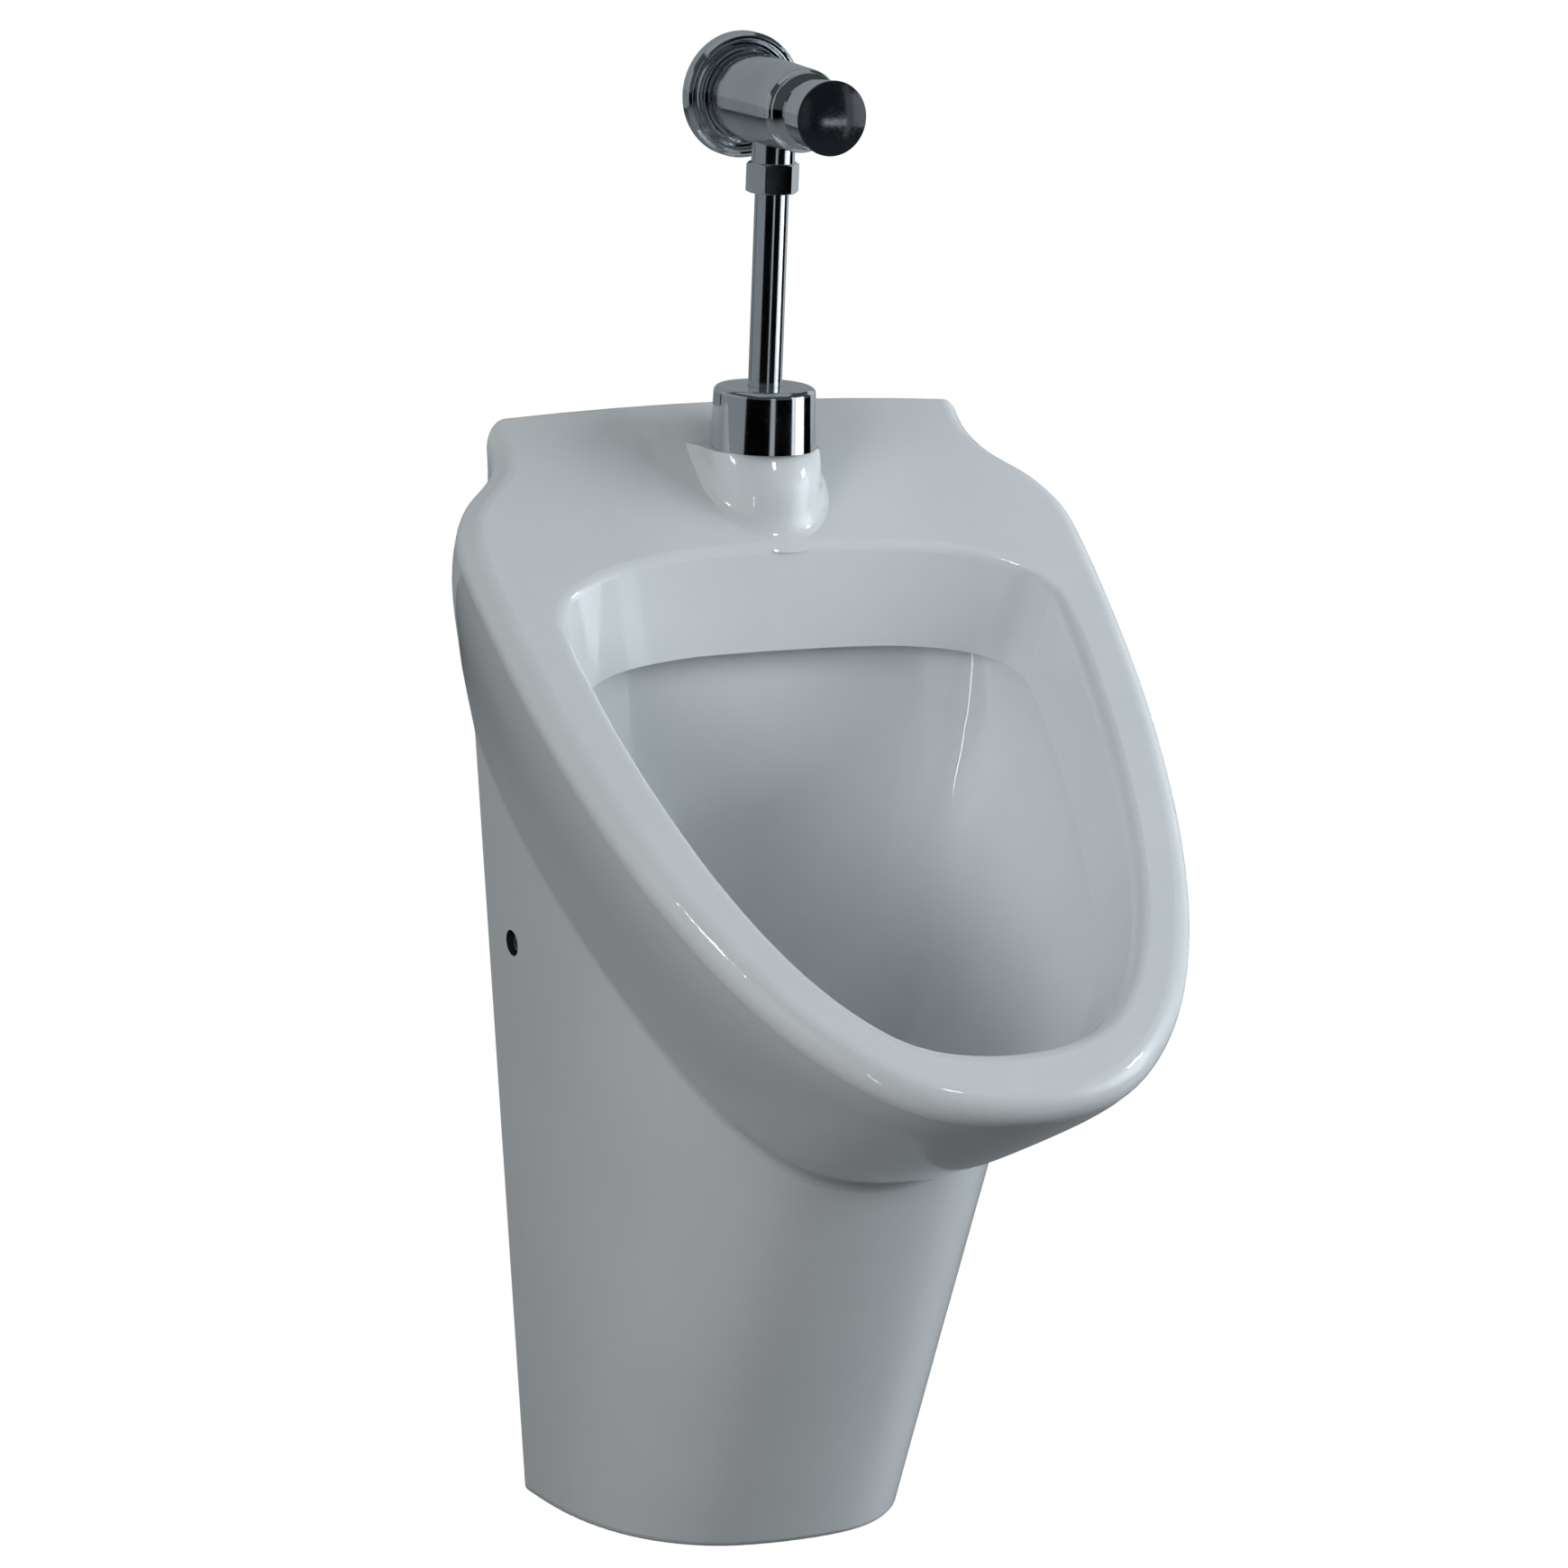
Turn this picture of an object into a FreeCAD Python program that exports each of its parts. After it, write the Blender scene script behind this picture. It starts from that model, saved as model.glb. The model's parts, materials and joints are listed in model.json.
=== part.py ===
import FreeCAD, Part
import math
import os
from FreeCAD import Vector

os.makedirs("parts", exist_ok=True)

# Wall-hung urinal with an exposed push-button flush valve, in millimetres.
# The origin is on the wall, midway between the four hanger screw holes.
# +Z is up, the front faces -Y and the wall fills +Y.
# Inside this file a place is (x, depth in front of the wall, height above the foot).

# China body
body_height = 600.0
rim_slope = 37.8
rim_half_width = 183.0
rim_length = 482.0
rim_roundness_side = 2.4
rim_roundness_front = 1.97
rim_crown_radius = 2600.0
rim_crown_rise = 0.5
rim_fillet = 12.0
rim_band = 37.0
shoulder_run = 100.0
notch_depth = 41.0
notch_curve = ((0.0, 0.08), (0.06, 0.27), (0.29, 0.40), (0.61, 0.52), (0.89, 0.70))
tub_depth = 141.0
tub_side_draft = 42.0
tub_front_draft = 64.0
tub_curve = (
    (0.0, 0.0, 0.0),
    (0.28, 0.14, 0.19),
    (0.64, 0.57, 0.56),
    (1.0, 1.0, 1.0),
    (1.28, 1.40, 1.50),
)
skirt_side_inset = 23.0
skirt_front_inset = 17.655
skirt_flare = 0.10
skirt_lean = 0.392
skirt_roundness = 2.5
skirt_drop = 102.0
skirt_hollow_drop = 150.0
crease_fillet = 12.0
foot_fillet = 5.0
china_wall = 13.0

# Bowl inside the body
opening_rear_depth = 82.0
opening_corner_run = 43.0
opening_corner_taper = 5.0
opening_front_reach = 8.0
opening_front_taper = 10.0
opening_powers = (2.7, 1.6, 3.0, 2.4)
box_rim_depth = 45.0
box_rim_taper = 15.0
opening_fillet = 8.0
bowl_back_depth = 62.0
bowl_depth = 252.0
bowl_inset = 10.0
bowl_widest = 0.32
bowl_heel = 10.0
bowl_powers = (2.6, 1.8, 5.0, 3.0)
bowl_curve = (
    (0.38, 7.0, 0.123, 0.0),
    (0.58, 18.0, 0.341, 0.0),
    (0.78, 29.0, 0.616, 0.0),
    (0.93, 57.0, 0.862, 0.3),
    (1.0, 100.0, 1.0, 1.0),
)
bowl_foot_run = 10.6
outlet_ahead = 26.0
outlet_below = 10.0
outlet_spigot_length = 16.0
outlet_spigot_radius = 40.0
outlet_seat_radius = 36.0
outlet_bore_radius = 24.5
sump_flare = 4.0
sump_step = 3.0
sump_rise = 14.0
sump_depth = 40.0

# Flush water inlet on the deck
pipe_depth = 44.0
boss_drop = 17.0
boss_radius = 28.5
boss_draft = 0.08
boss_foot = 6.0
boss_foot_curve = (0.05, 0.17, 0.42, 1.0, 3.0, 7.5)
boss_powers = (2.0, 2.0, 5.0, 3.0)
boss_seat_gap = 0.7
inlet_bore_radius = 17.5
channel_inset = 83.0
channel_drop = 93.0
channel_roof_cover = 14.0
channel_front_depth = 65.0
channel_back_depth = 31.0
rinse_hole_radius = 3.0
rinse_hole_count = 7
rinse_hole_spread = 0.78
rinse_hole_depth = 68.0
rinse_hole_length = 60.0

# Hanger brackets
hanger_drop = 77.0
hanger_inset = 98.0
hanger_hole_pitch = 25.0
hanger_hole_radius = 3.5
hanger_width = 40.0
hanger_sheet = 3.0
hanger_bend = 2.0
hanger_edge = 25.0
hanger_rise = 40.0
hanger_hook_depth = 13.0
hanger_hook_rise = 12.0
hanger_pocket_depth = 20.0
hanger_pocket_side = 20.0
hanger_pocket_drop = 92.0
hook_clearance = 1.5

# Side fixing of the skirt
side_hole_drop = 281.0
side_hole_depth = 30.0
side_hole_radius = 7.0
side_counterbore = 7.5
side_screw_radius = 3.0
side_screw_head_radius = 5.6
side_screw_head_height = 3.4
side_screw_dome = 2.0
side_screw_length = 26.0
side_screw_slack = 1.0
side_washer_radius = 6.6
side_washer_thickness = 1.5
side_bracket_sheet = 3.0
side_bracket_height = 40.0
side_bracket_reach = 44.0
side_bracket_wall_leg = 38.0
side_bracket_gap = 0.4
screw_clearance = 0.1

# Flush pipe with its cap, connector and nut
pipe_radius = 9.0
pipe_wall = 1.0
pipe_socket = 9.0
pipe_insert = 20.0
pipe_clearance = 0.1
cap_radius = 28.3
cap_top_radius = 27.0
cap_height = 33.0
cap_wall = 1.8
cap_edge = 3.5
cap_pipe_gap = 0.3
connector_depth = 25.0
connector_clearance = 0.2
connector_flange_radius = 22.0
connector_flange = 4.0
connector_collar_radius = 13.0
connector_collar = 13.0
nut_flats = 25.0
nut_height = 16.0
nut_floor = 2.0
nut_turn = 12.0
nut_chamfer = 2.0
ferrule_height = 3.0

# Flush valve on the wall
valve_rise = 166.0
valve_back = 3.0
valve_length = 77.0
valve_rear_radius = 24.0
valve_front_radius = 22.0
valve_shank = 11.0
valve_edge = 4.0
supply_radius = 10.48
supply_length = 30.0
supply_bore = 7.5
filter_wall = 0.7
filter_length = 16.0
filter_flange = 1.0
filter_flange_radius = 10.0
filter_hole = 0.9
pressure_bore = 14.0
pressure_bore_start = 8.0
seat_depth = 30.0
seat_ring_radius = 15.5
seat_thickness = 5.0
seat_bore = 9.0
seat_gap = 0.1
disc_radius = 12.2
disc_thickness = 4.5
disc_washer_radius = 11.8
disc_washer_thickness = 2.9
stem_radius = 3.0
stem_tail = 2.5
guide_radius = 17.0
guide_length = 14.0
guide_setback = 6.0
oring_width = 3.0
oring_groove = 2.5
running_gap = 0.05
sliding_gap = 0.3
collar_radius = 20.5
collar_edge = 1.5
collar_length = 4.0
neck_radius = 15.7
neck_bore = 9.5
button_travel = 6.0
button_stop_gap = 0.5
sleeve_gap = 1.0
sleeve_length = 18.0
sleeve_rear_radius = 18.3
sleeve_front_radius = 19.4
sleeve_web = 4.0
sleeve_edge = 0.7
button_radius = 19.66
button_rim = 1.5
button_crown = 3.5
button_edge = 0.8
spring_radius = 7.4
spring_wire = 0.8
spring_turns = 7
branch_radius = 11.5
branch_bore = 8.0
branch_drop = 42.0
branch_shoulder = 2.0
flange_radius = 33.5
flange_gasket_thickness = 1.5
flange_rim_height = 8.0
flange_rim_width = 4.0
flange_recess_radius = 28.2
flange_recess_height = 5.0
flange_collar_radius = 26.0
flange_collar_height = 9.5

# Waste outlet in the bowl
waste_gasket = 2.0
waste_flange_radius = 34.0
waste_flange_height = 3.5
tail_radius = 23.5
tail_wall = 3.5
tail_length = 62.0
bridge_width = 6.0
bridge_height = 9.0
bridge_boss_radius = 5.5
strainer_radius = 31.0
strainer_sheet = 1.5
strainer_gap = 0.2
strainer_hole = 2.3
strainer_rings = ((11.5, 8), (18.5, 14), (25.5, 20))
strainer_screw_radius = 2.0
strainer_screw_head = 4.5
strainer_screw_height = 2.2
strainer_screw_length = 12.0
spigot_gasket = 3.0
backnut_flats = 62.0
backnut_height = 12.0
backnut_chamfer = 2.0

# Bottle trap behind the skirt
fit_gap = 0.2
trap_overlap = 14.0
trap_neck_radius = 27.5
trap_radius = 31.0
trap_wall = 2.5
trap_neck_below = 6.0
trap_shoulder = 6.0
trap_length = 60.0
trap_seal = 4.0
coupling_radius = 33.0
coupling_height = 20.0
coupling_roof = 4.0
dip_collar = 3.8
dip_radius = 19.8
dip_wall = 2.0
dip_length = 48.0
cup_radius = 34.0
cup_overlap = 14.0
cup_seal = 2.0
cup_sump = 10.0
cup_floor = 2.5
outlet_drop = 20.0
outlet_branch_radius = 24.0
outlet_branch_end = 46.0
outlet_socket = 19.0
outlet_nut_radius = 30.0
outlet_nut_length = 18.0
outlet_nut_wall = 3.0
outlet_seal = 3.0
outlet_pipe_radius = 20.0
outlet_pipe_wall = 1.8
outlet_pipe_length = 45.0
outlet_pipe_step = 0.5
grip_count = 16
grip_flute = 2.0

tilt = math.radians(rim_slope)
slope_run = math.cos(tilt)
slope_fall = math.sin(tilt)
upright = Vector(0, 0, 1)
outward = Vector(0, -1, 0)
sideways = Vector(1, 0, 0)

# Heights and depths that follow from the sizes above
rim_front = rim_length * slope_run
skirt_top_half_width = rim_half_width - skirt_side_inset
skirt_top_reach = rim_front - skirt_front_inset
skirt_height = body_height - skirt_drop
skirt_hollow_height = body_height - skirt_hollow_drop
hanger_height = body_height - hanger_drop
hanger_spacing = 2 * (rim_half_width - hanger_inset)
side_hole_height = body_height - side_hole_drop
channel_half_width = rim_half_width - channel_inset
hanger_top = hanger_height + hanger_rise
boss_height = body_height - boss_drop
channel_floor = body_height - channel_drop
valve_height = body_height + valve_rise
valve_front = valve_back + valve_length
branch_end = valve_height - branch_drop
guide_back = pipe_depth + branch_bore + guide_setback
guide_front = guide_back + guide_length
sleeve_back = valve_front + collar_length + button_travel + sleeve_gap
sleeve_front = sleeve_back + sleeve_length
web_back = sleeve_front - sleeve_web
bowl_foot_rear = (bowl_back_depth + bowl_heel + bowl_depth * slope_fall) / slope_run
bowl_length = rim_length - rim_band / slope_run
bowl_front_draft = bowl_length - bowl_foot_rear - bowl_foot_run
bowl_foot = bowl_foot_rear + bowl_foot_run / 2
outlet_depth = bowl_foot * slope_run - bowl_depth * slope_fall + outlet_ahead
outlet_seat = body_height - bowl_foot * slope_fall - bowl_depth * slope_run - outlet_below
spigot_end = outlet_seat - outlet_spigot_length
waste_top = outlet_seat + waste_gasket + waste_flange_height
tail_bore = tail_radius - tail_wall
tail_end = outlet_seat - tail_length
trap_neck_top = tail_end + trap_overlap
trap_ledge = tail_end - dip_collar - fit_gap
trap_shoulder_top = trap_ledge - trap_neck_below
trap_shoulder_low = trap_shoulder_top - trap_shoulder
trap_end = trap_shoulder_low - trap_length
trap_outlet = trap_shoulder_low - outlet_drop


def at(x, depth, height):
    return Vector(x, -depth, height - hanger_height)


def on_rim(x, along, below):
    depth = along * slope_run - below * slope_fall
    height = body_height - along * slope_fall - below * slope_run
    return at(x, depth, height)


def rim_height(depth):
    return body_height - depth * slope_fall / slope_run


def spline(points):
    curve = Part.BSplineCurve()
    last = len(points) - 1
    curve.interpolate(Points=points, Parameters=[i / last for i in range(last + 1)])
    return curve.toShape()


def closed_spline(points):
    curve = Part.BSplineCurve()
    count = len(points)
    steps = [i / count for i in range(count + 1)]
    curve.interpolate(Points=points, PeriodicFlag=True, Parameters=steps)
    return Part.Wire(curve.toShape())


def superellipse(wide, long, power_wide, power_long, count):
    quarter = []
    for i in range(count + 1):
        angle = i / count * math.pi / 2
        across = wide * max(math.cos(angle), 0.0) ** (2 / power_wide)
        quarter.append((across, long * math.sin(angle) ** (2 / power_long)))
    return quarter


def rounded_wire(corners, place):
    # a closed outline of straight runs; a third number rounds that corner
    ends = []
    count = len(corners)
    for i, corner in enumerate(corners):
        here = Vector(corner[0], corner[1], 0)
        if len(corner) == 2:
            ends.append((here, None, here))
            continue
        before = Vector(corners[i - 1][0], corners[i - 1][1], 0) - here
        after = Vector(corners[(i + 1) % count][0], corners[(i + 1) % count][1], 0) - here
        half = before.getAngle(after) / 2
        run = corner[2] / math.tan(half)
        before.normalize()
        after.normalize()
        middle = before + after
        middle.normalize()
        inset = corner[2] / math.sin(half) - corner[2]
        ends.append((here + before * run, here + middle * inset, here + after * run))
    edges = []
    for i, (start, middle, end) in enumerate(ends):
        if middle is not None:
            arc = Part.Arc(place(start.x, start.y), place(middle.x, middle.y), place(end.x, end.y))
            edges.append(arc.toShape())
        follow = ends[(i + 1) % count][0]
        if (follow - end).Length > 1e-6:
            edges.append(Part.makeLine(place(end.x, end.y), place(follow.x, follow.y)))
    return Part.Wire(edges)


def turned_up(profile, depth):
    # a ring or plug about an upright axis; profile holds (radius, height)
    face = Part.Face(rounded_wire(profile, lambda r, h: at(r, depth, h)))
    return face.revolve(at(0, depth, 0), upright, 360)


def turned_out(profile, height):
    # a ring or plug about an axis square to the wall; profile holds (radius, depth)
    face = Part.Face(rounded_wire(profile, lambda r, d: at(r, d, height)))
    return face.revolve(at(0, 0, height), outward, 360)


def extruded_side(profile, x_from, x_to):
    # a prism along x; profile holds (depth, height)
    face = Part.Face(rounded_wire(profile, lambda d, h: at(x_from, d, h)))
    return face.extrude(Vector(x_to - x_from, 0, 0))


def rod_up(radius, depth, low, high, x=0.0):
    return Part.makeCylinder(radius, high - low, at(x, depth, low), upright)


def rod_out(radius, height, near, far, x=0.0):
    return Part.makeCylinder(radius, far - near, at(x, near, height), outward)


def hexagon_up(flats, depth, low, high, turn):
    reach = flats / math.sqrt(3)
    points = []
    for i in range(7):
        angle = math.radians(60 * i + turn)
        points.append(at(reach * math.cos(angle), depth + reach * math.sin(angle), low))
    return Part.Face(Part.makePolygon(points)).extrude(Vector(0, 0, high - low))


def mirrored(shape):
    return shape.mirror(Vector(0, 0, 0), sideways)


def edges_where(shape, test):
    return [edge for edge in shape.Edges if test(edge)]


def fluted(shape, radius, place, direction):
    # shallow grip flutes all round a turned piece
    grooves = []
    for i in range(grip_count):
        angle = 2 * math.pi * i / grip_count
        start = place(radius * math.cos(angle), radius * math.sin(angle))
        grooves.append(Part.makeCylinder(grip_flute, 2 * body_height, start, direction))
    return shape.cut(grooves)


def rounded_nut(flats, depth, low, high, turn, chamfer):
    # a hexagon with its corners turned off at both ends
    tip = flats / math.sqrt(3) + running_gap
    turned = turned_up(
        [
            (0, low),
            (tip - chamfer, low),
            (tip, low + chamfer / 2),
            (tip, high - chamfer / 2),
            (tip - chamfer, high),
            (0, high),
        ],
        depth,
    )
    return hexagon_up(flats, depth, low, high, turn).common(turned)


# China body


def tub_wire(half_width, length, below):
    side = half_width - notch_depth
    right = [(side + out * notch_depth, run * shoulder_run) for out, run in notch_curve]
    front = superellipse(
        half_width, length - shoulder_run, rim_roundness_side, rim_roundness_front, 8
    )
    right += [(x, shoulder_run + run) for x, run in front]
    left = [(-x, along) for x, along in reversed(right[:-1])]
    points = [on_rim(x, along, below) for x, along in right + left]
    behind = -shoulder_run
    rear_left = on_rim(-side, behind, below)
    rear_right = on_rim(side, behind, below)
    edges = [
        Part.makeLine(rear_left, rear_right),
        Part.makeLine(rear_right, points[0]),
        spline(points),
        Part.makeLine(points[-1], rear_left),
    ]
    return Part.Wire(edges)


def tub():
    # an inclined bowl, drawn in as it goes down from the rim
    wires = [tub_wire(rim_half_width, rim_length, -rim_crown_rise - rim_fillet)]
    for share, side, front in tub_curve:
        half_width = rim_half_width - side * tub_side_draft
        length = rim_length - front * tub_front_draft
        wires.append(tub_wire(half_width, length, share * tub_depth))
    return Part.makeLoft(wires, True, False)


def skirt_wire(height, inset):
    drop = body_height - height
    half_width = skirt_top_half_width - skirt_flare * drop - inset
    reach = skirt_top_reach - skirt_lean * drop - inset
    right = superellipse(half_width, reach, skirt_roundness, skirt_roundness, 6)
    left = [(-x, depth) for x, depth in reversed(right[:-1])]
    points = [at(x, depth, height) for x, depth in right + left]
    behind = -shoulder_run / 2
    rear_left = at(-half_width, behind, height)
    rear_right = at(half_width, behind, height)
    edges = [
        Part.makeLine(rear_left, rear_right),
        Part.makeLine(rear_right, points[0]),
        spline(points),
        Part.makeLine(points[-1], rear_left),
    ]
    return Part.Wire(edges)


def skirt(low, high, inset):
    return Part.makeLoft([skirt_wire(low, inset), skirt_wire(high, inset)], True, True)


def skirt_x(height, depth, inset):
    # half the width of the skirt at one place
    drop = body_height - height
    half_width = skirt_top_half_width - skirt_flare * drop - inset
    reach = skirt_top_reach - skirt_lean * drop - inset
    return half_width * (1 - (depth / reach) ** skirt_roundness) ** (1 / skirt_roundness)


def behind_wall():
    span = 2 * body_height
    return Part.makeBox(span, span, 2 * span, Vector(-span / 2, 0, -span))


def above_rim():
    # everything above the rim, whose surface is crowned from side to side
    half = 1.4 * rim_half_width
    sag = rim_crown_radius - math.sqrt(rim_crown_radius**2 - half**2)
    edge = sag - rim_crown_rise
    start = -rim_length / 2
    top = -body_height / 2
    arc = Part.Arc(
        on_rim(-half, start, edge), on_rim(0, start, -rim_crown_rise), on_rim(half, start, edge)
    )
    sides = Part.makePolygon(
        [
            on_rim(half, start, edge),
            on_rim(half, start, top),
            on_rim(-half, start, top),
            on_rim(-half, start, edge),
        ]
    )
    face = Part.Face(Part.Wire([arc.toShape()] + sides.Edges))
    return face.extrude(on_rim(0, 2 * rim_length, 0) - on_rim(0, 0, 0))


def bowl_wire(half_width, rear, widest, front, below, powers):
    side_power, front_power, corner_power, rear_power = powers
    ahead = superellipse(half_width, front - widest, side_power, front_power, 8)
    back = superellipse(half_width, widest - rear, corner_power, rear_power, 8)
    right = [(x, widest - run) for x, run in reversed(back)]
    right += [(x, widest + run) for x, run in ahead[1:]]
    left = [(-x, along) for x, along in reversed(right[1:-1])]
    points = [on_rim(x, along, below) for x, along in right + left]
    side = len(points) // 4
    return closed_spline(points[side:] + points[:side])


def throat():
    # the mouth of the bowl: a vertical face at the back, tapered sides
    length = bowl_length + opening_front_reach
    wires = []
    for share in (-0.5, 1.0):
        below = share * box_rim_depth
        half_width = rim_half_width - rim_band - share * box_rim_taper
        rear = (opening_rear_depth + below * slope_fall) / slope_run
        widest = rear + opening_corner_run - share * opening_corner_taper
        front = length - share * opening_front_taper
        wires.append(bowl_wire(half_width, rear, widest, front, below, opening_powers))
    return Part.makeLoft(wires, True, True)


def chamber(grow):
    # the bowl below the box rim, with a flat upright back
    half_width = rim_half_width - rim_band - bowl_inset
    overlap = 1.0
    steps = [(box_rim_depth - overlap, 0.0, 0.0, 0.0)]
    steps += [(share * bowl_depth, side, front, heel) for share, side, front, heel in bowl_curve]
    wires = []
    for below, side, front, heel in steps:
        deeper = below + grow * (below - box_rim_depth) / (bowl_depth - box_rim_depth)
        rear = (bowl_back_depth - grow + heel * bowl_heel + deeper * slope_fall) / slope_run
        ahead = bowl_length - front * bowl_front_draft + grow
        widest = rear + bowl_widest * (ahead - rear)
        wires.append(bowl_wire(half_width - side + grow, rear, widest, ahead, deeper, bowl_powers))
    return Part.makeLoft(wires, True, False)


def boss_wire(above, grow):
    # a section of the boss, parallel to the deck and so far above it
    centre = (pipe_depth - above * slope_fall) / slope_run
    top = boss_foot_curve[-1] * boss_foot
    half_width = boss_radius + grow + boss_draft * (top - above)
    rear = centre - pipe_depth - grow
    front = centre + half_width / slope_run
    return bowl_wire(half_width, rear, centre, front, -above, boss_powers)


def boss():
    # the raised seat of the flush inlet, with a hollow foot and a level top
    wires = [boss_wire(-boss_foot / 4, 1.25 * boss_foot)]
    for rise in boss_foot_curve:
        grow = 1 - math.sqrt(1 - max(1 - rise, 0.0) ** 2)
        wires.append(boss_wire(rise * boss_foot, grow * boss_foot))
    span = 8 * boss_radius
    above = Part.makeBox(span, span, span, at(-span / 2, span / 2, boss_height))
    return Part.makeLoft(wires, True, False).cut(above)


def flush_channel():
    # the water way behind the bowl's back wall, with a row of rinse holes
    roof_front = rim_height(channel_front_depth) - channel_roof_cover
    roof_back = rim_height(channel_back_depth) - channel_roof_cover
    profile = [
        (channel_back_depth, channel_floor),
        (channel_front_depth, channel_floor),
        (channel_front_depth, roof_front),
        (channel_back_depth, roof_back),
    ]
    space = extruded_side(profile, -channel_half_width, channel_half_width)
    inlet = rod_up(inlet_bore_radius, pipe_depth, channel_floor, boss_height + china_wall)
    holes = []
    for i in range(rinse_hole_count):
        x = (2 * i / (rinse_hole_count - 1) - 1) * rinse_hole_spread * channel_half_width
        low = channel_floor - rinse_hole_length
        high = channel_floor + rinse_hole_radius
        holes.append(rod_up(rinse_hole_radius, rinse_hole_depth, low, high, x))
    return space.fuse([inlet] + holes)


def hanger_pocket():
    # the hollow back that takes the hanger brackets, with a slot for each hook
    half = hanger_spacing / 2 + hanger_width / 2 + hanger_pocket_side
    low = hanger_height - hanger_pocket_drop
    high = hanger_top + hook_clearance
    space = extruded_side(
        [
            (-china_wall, low),
            (hanger_pocket_depth, low),
            (hanger_pocket_depth, high),
            (-china_wall, high),
        ],
        -half,
        half,
    )
    near = hanger_hook_depth - hanger_sheet - hook_clearance
    far = hanger_hook_depth + hook_clearance
    roof = hanger_top + hanger_hook_rise
    reach = hanger_width / 2 + hook_clearance
    for centre in (-hanger_spacing / 2, hanger_spacing / 2):
        slot = [(near, hanger_top), (far, hanger_top), (far, roof), (near, roof)]
        space = space.fuse(extruded_side(slot, centre - reach, centre + reach))
    return space


def side_holes():
    # a counterbored hole through each side of the skirt
    outer = skirt_x(side_hole_height, side_hole_depth, 0)
    start = at(outer - side_counterbore, side_hole_depth, side_hole_height)
    wide = Part.makeCylinder(side_hole_radius, 2 * side_counterbore, start, sideways)
    narrow_start = at(outer - 2 * china_wall, side_hole_depth, side_hole_height)
    narrow_radius = side_screw_radius + side_screw_slack
    narrow = Part.makeCylinder(narrow_radius, 2 * china_wall, narrow_start, sideways)
    hole = wide.fuse(narrow)
    return hole.fuse(mirrored(hole))


def outlet_sump():
    # the round well in the bowl's floor that the waste flange sits in
    wide = outlet_seat_radius + sump_flare
    top = outlet_seat + sump_depth
    well = turned_up(
        [
            (0, outlet_seat),
            (outlet_seat_radius, outlet_seat),
            (outlet_seat_radius, outlet_seat + sump_step),
            (wide, outlet_seat + sump_rise),
            (wide, top - sump_rise),
            (0, top),
        ],
        outlet_depth,
    )
    bore = rod_up(outlet_bore_radius, outlet_depth, spigot_end - china_wall, outlet_seat + sump_step)
    return well.fuse(bore)


def outer_shell():
    # tub and skirt in one, with the crease, the rim and the foot rounded
    shell = tub().fuse(skirt(0, skirt_height, 0)).cut(behind_wall()).cut(above_rim())
    shell = shell.removeSplitter().Solids[0]
    crease = edges_where(
        shell,
        lambda e: e.BoundBox.YLength > 0.1 * body_height
        and e.BoundBox.ZMax < at(0, 0, 0.8 * body_height).z
        and e.BoundBox.ZMin > at(0, 0, 0.2 * body_height).z,
    )
    shell = shell.makeFillet(crease_fillet, crease)
    rim = edges_where(
        shell,
        lambda e: e.BoundBox.ZMin > at(0, 0, 0.3 * body_height).z
        and e.BoundBox.XMax > 0.9 * rim_half_width
        and e.BoundBox.YLength > 0.5 * rim_length,
    )
    shell = shell.makeFillet(rim_fillet, rim)
    foot_z = at(0, 0, 0).z
    foot = edges_where(
        shell,
        lambda e: abs(e.BoundBox.ZMax - foot_z) < 0.01 and e.BoundBox.YLength > 0.1 * body_height,
    )
    return shell.makeFillet(foot_fillet, foot)


def opened_shell(shell):
    # the mouth with its rounded lip, and the boss of the flush inlet
    shell = shell.cut(throat())
    mouth = edges_where(
        shell,
        lambda e: e.BoundBox.XLength > rim_half_width
        and e.BoundBox.YLength > rim_half_width
        and e.BoundBox.XMax < rim_half_width - 0.5 * rim_band
        and e.BoundBox.ZMax > at(0, 0, rim_height(1.1 * opening_rear_depth)).z,
    )
    shell = shell.makeFillet(opening_fillet, mouth)
    cap_seat = rod_up(cap_radius + boss_seat_gap, pipe_depth, boss_height, body_height + boss_drop)
    return shell.cut(cap_seat).fuse(boss().cut(behind_wall())).removeSplitter().Solids[0]


def ceramic_body():
    shell = opened_shell(outer_shell())
    hollow = skirt(-china_wall, skirt_hollow_height, china_wall).cut(chamber(china_wall))
    shell = shell.cut(max(hollow.Solids, key=lambda solid: solid.Volume))
    spigot = rod_up(outlet_spigot_radius, outlet_depth, spigot_end, outlet_seat + china_wall)
    shell = shell.fuse(spigot).cut(chamber(0)).cut(outlet_sump())
    shell = shell.cut(flush_channel()).cut(hanger_pocket()).cut(side_holes())
    return shell.removeSplitter().Solids[0]


# Wall fixings


def hanger_bracket(centre):
    # bent sheet: a wall plate with two screw holes and a hook that carries the china
    low = hanger_height - hanger_hole_pitch / 2 - hanger_edge / 2
    under = hanger_top - hanger_sheet
    lip = hanger_hook_depth - hanger_sheet
    outer_bend = hanger_bend + hanger_sheet
    profile = [
        (0, low),
        (hanger_sheet, low),
        (hanger_sheet, under, hanger_bend),
        (hanger_hook_depth, under, outer_bend),
        (hanger_hook_depth, hanger_top + hanger_hook_rise),
        (lip, hanger_top + hanger_hook_rise),
        (lip, hanger_top, hanger_bend),
        (0, hanger_top, outer_bend),
    ]
    bracket = extruded_side(profile, centre - hanger_width / 2, centre + hanger_width / 2)
    holes = []
    for step in (-0.5, 0.5):
        height = hanger_height + step * hanger_hole_pitch
        holes.append(rod_out(hanger_hole_radius, height, -hanger_sheet, 2 * hanger_sheet, centre))
    return bracket.cut(holes)


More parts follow.
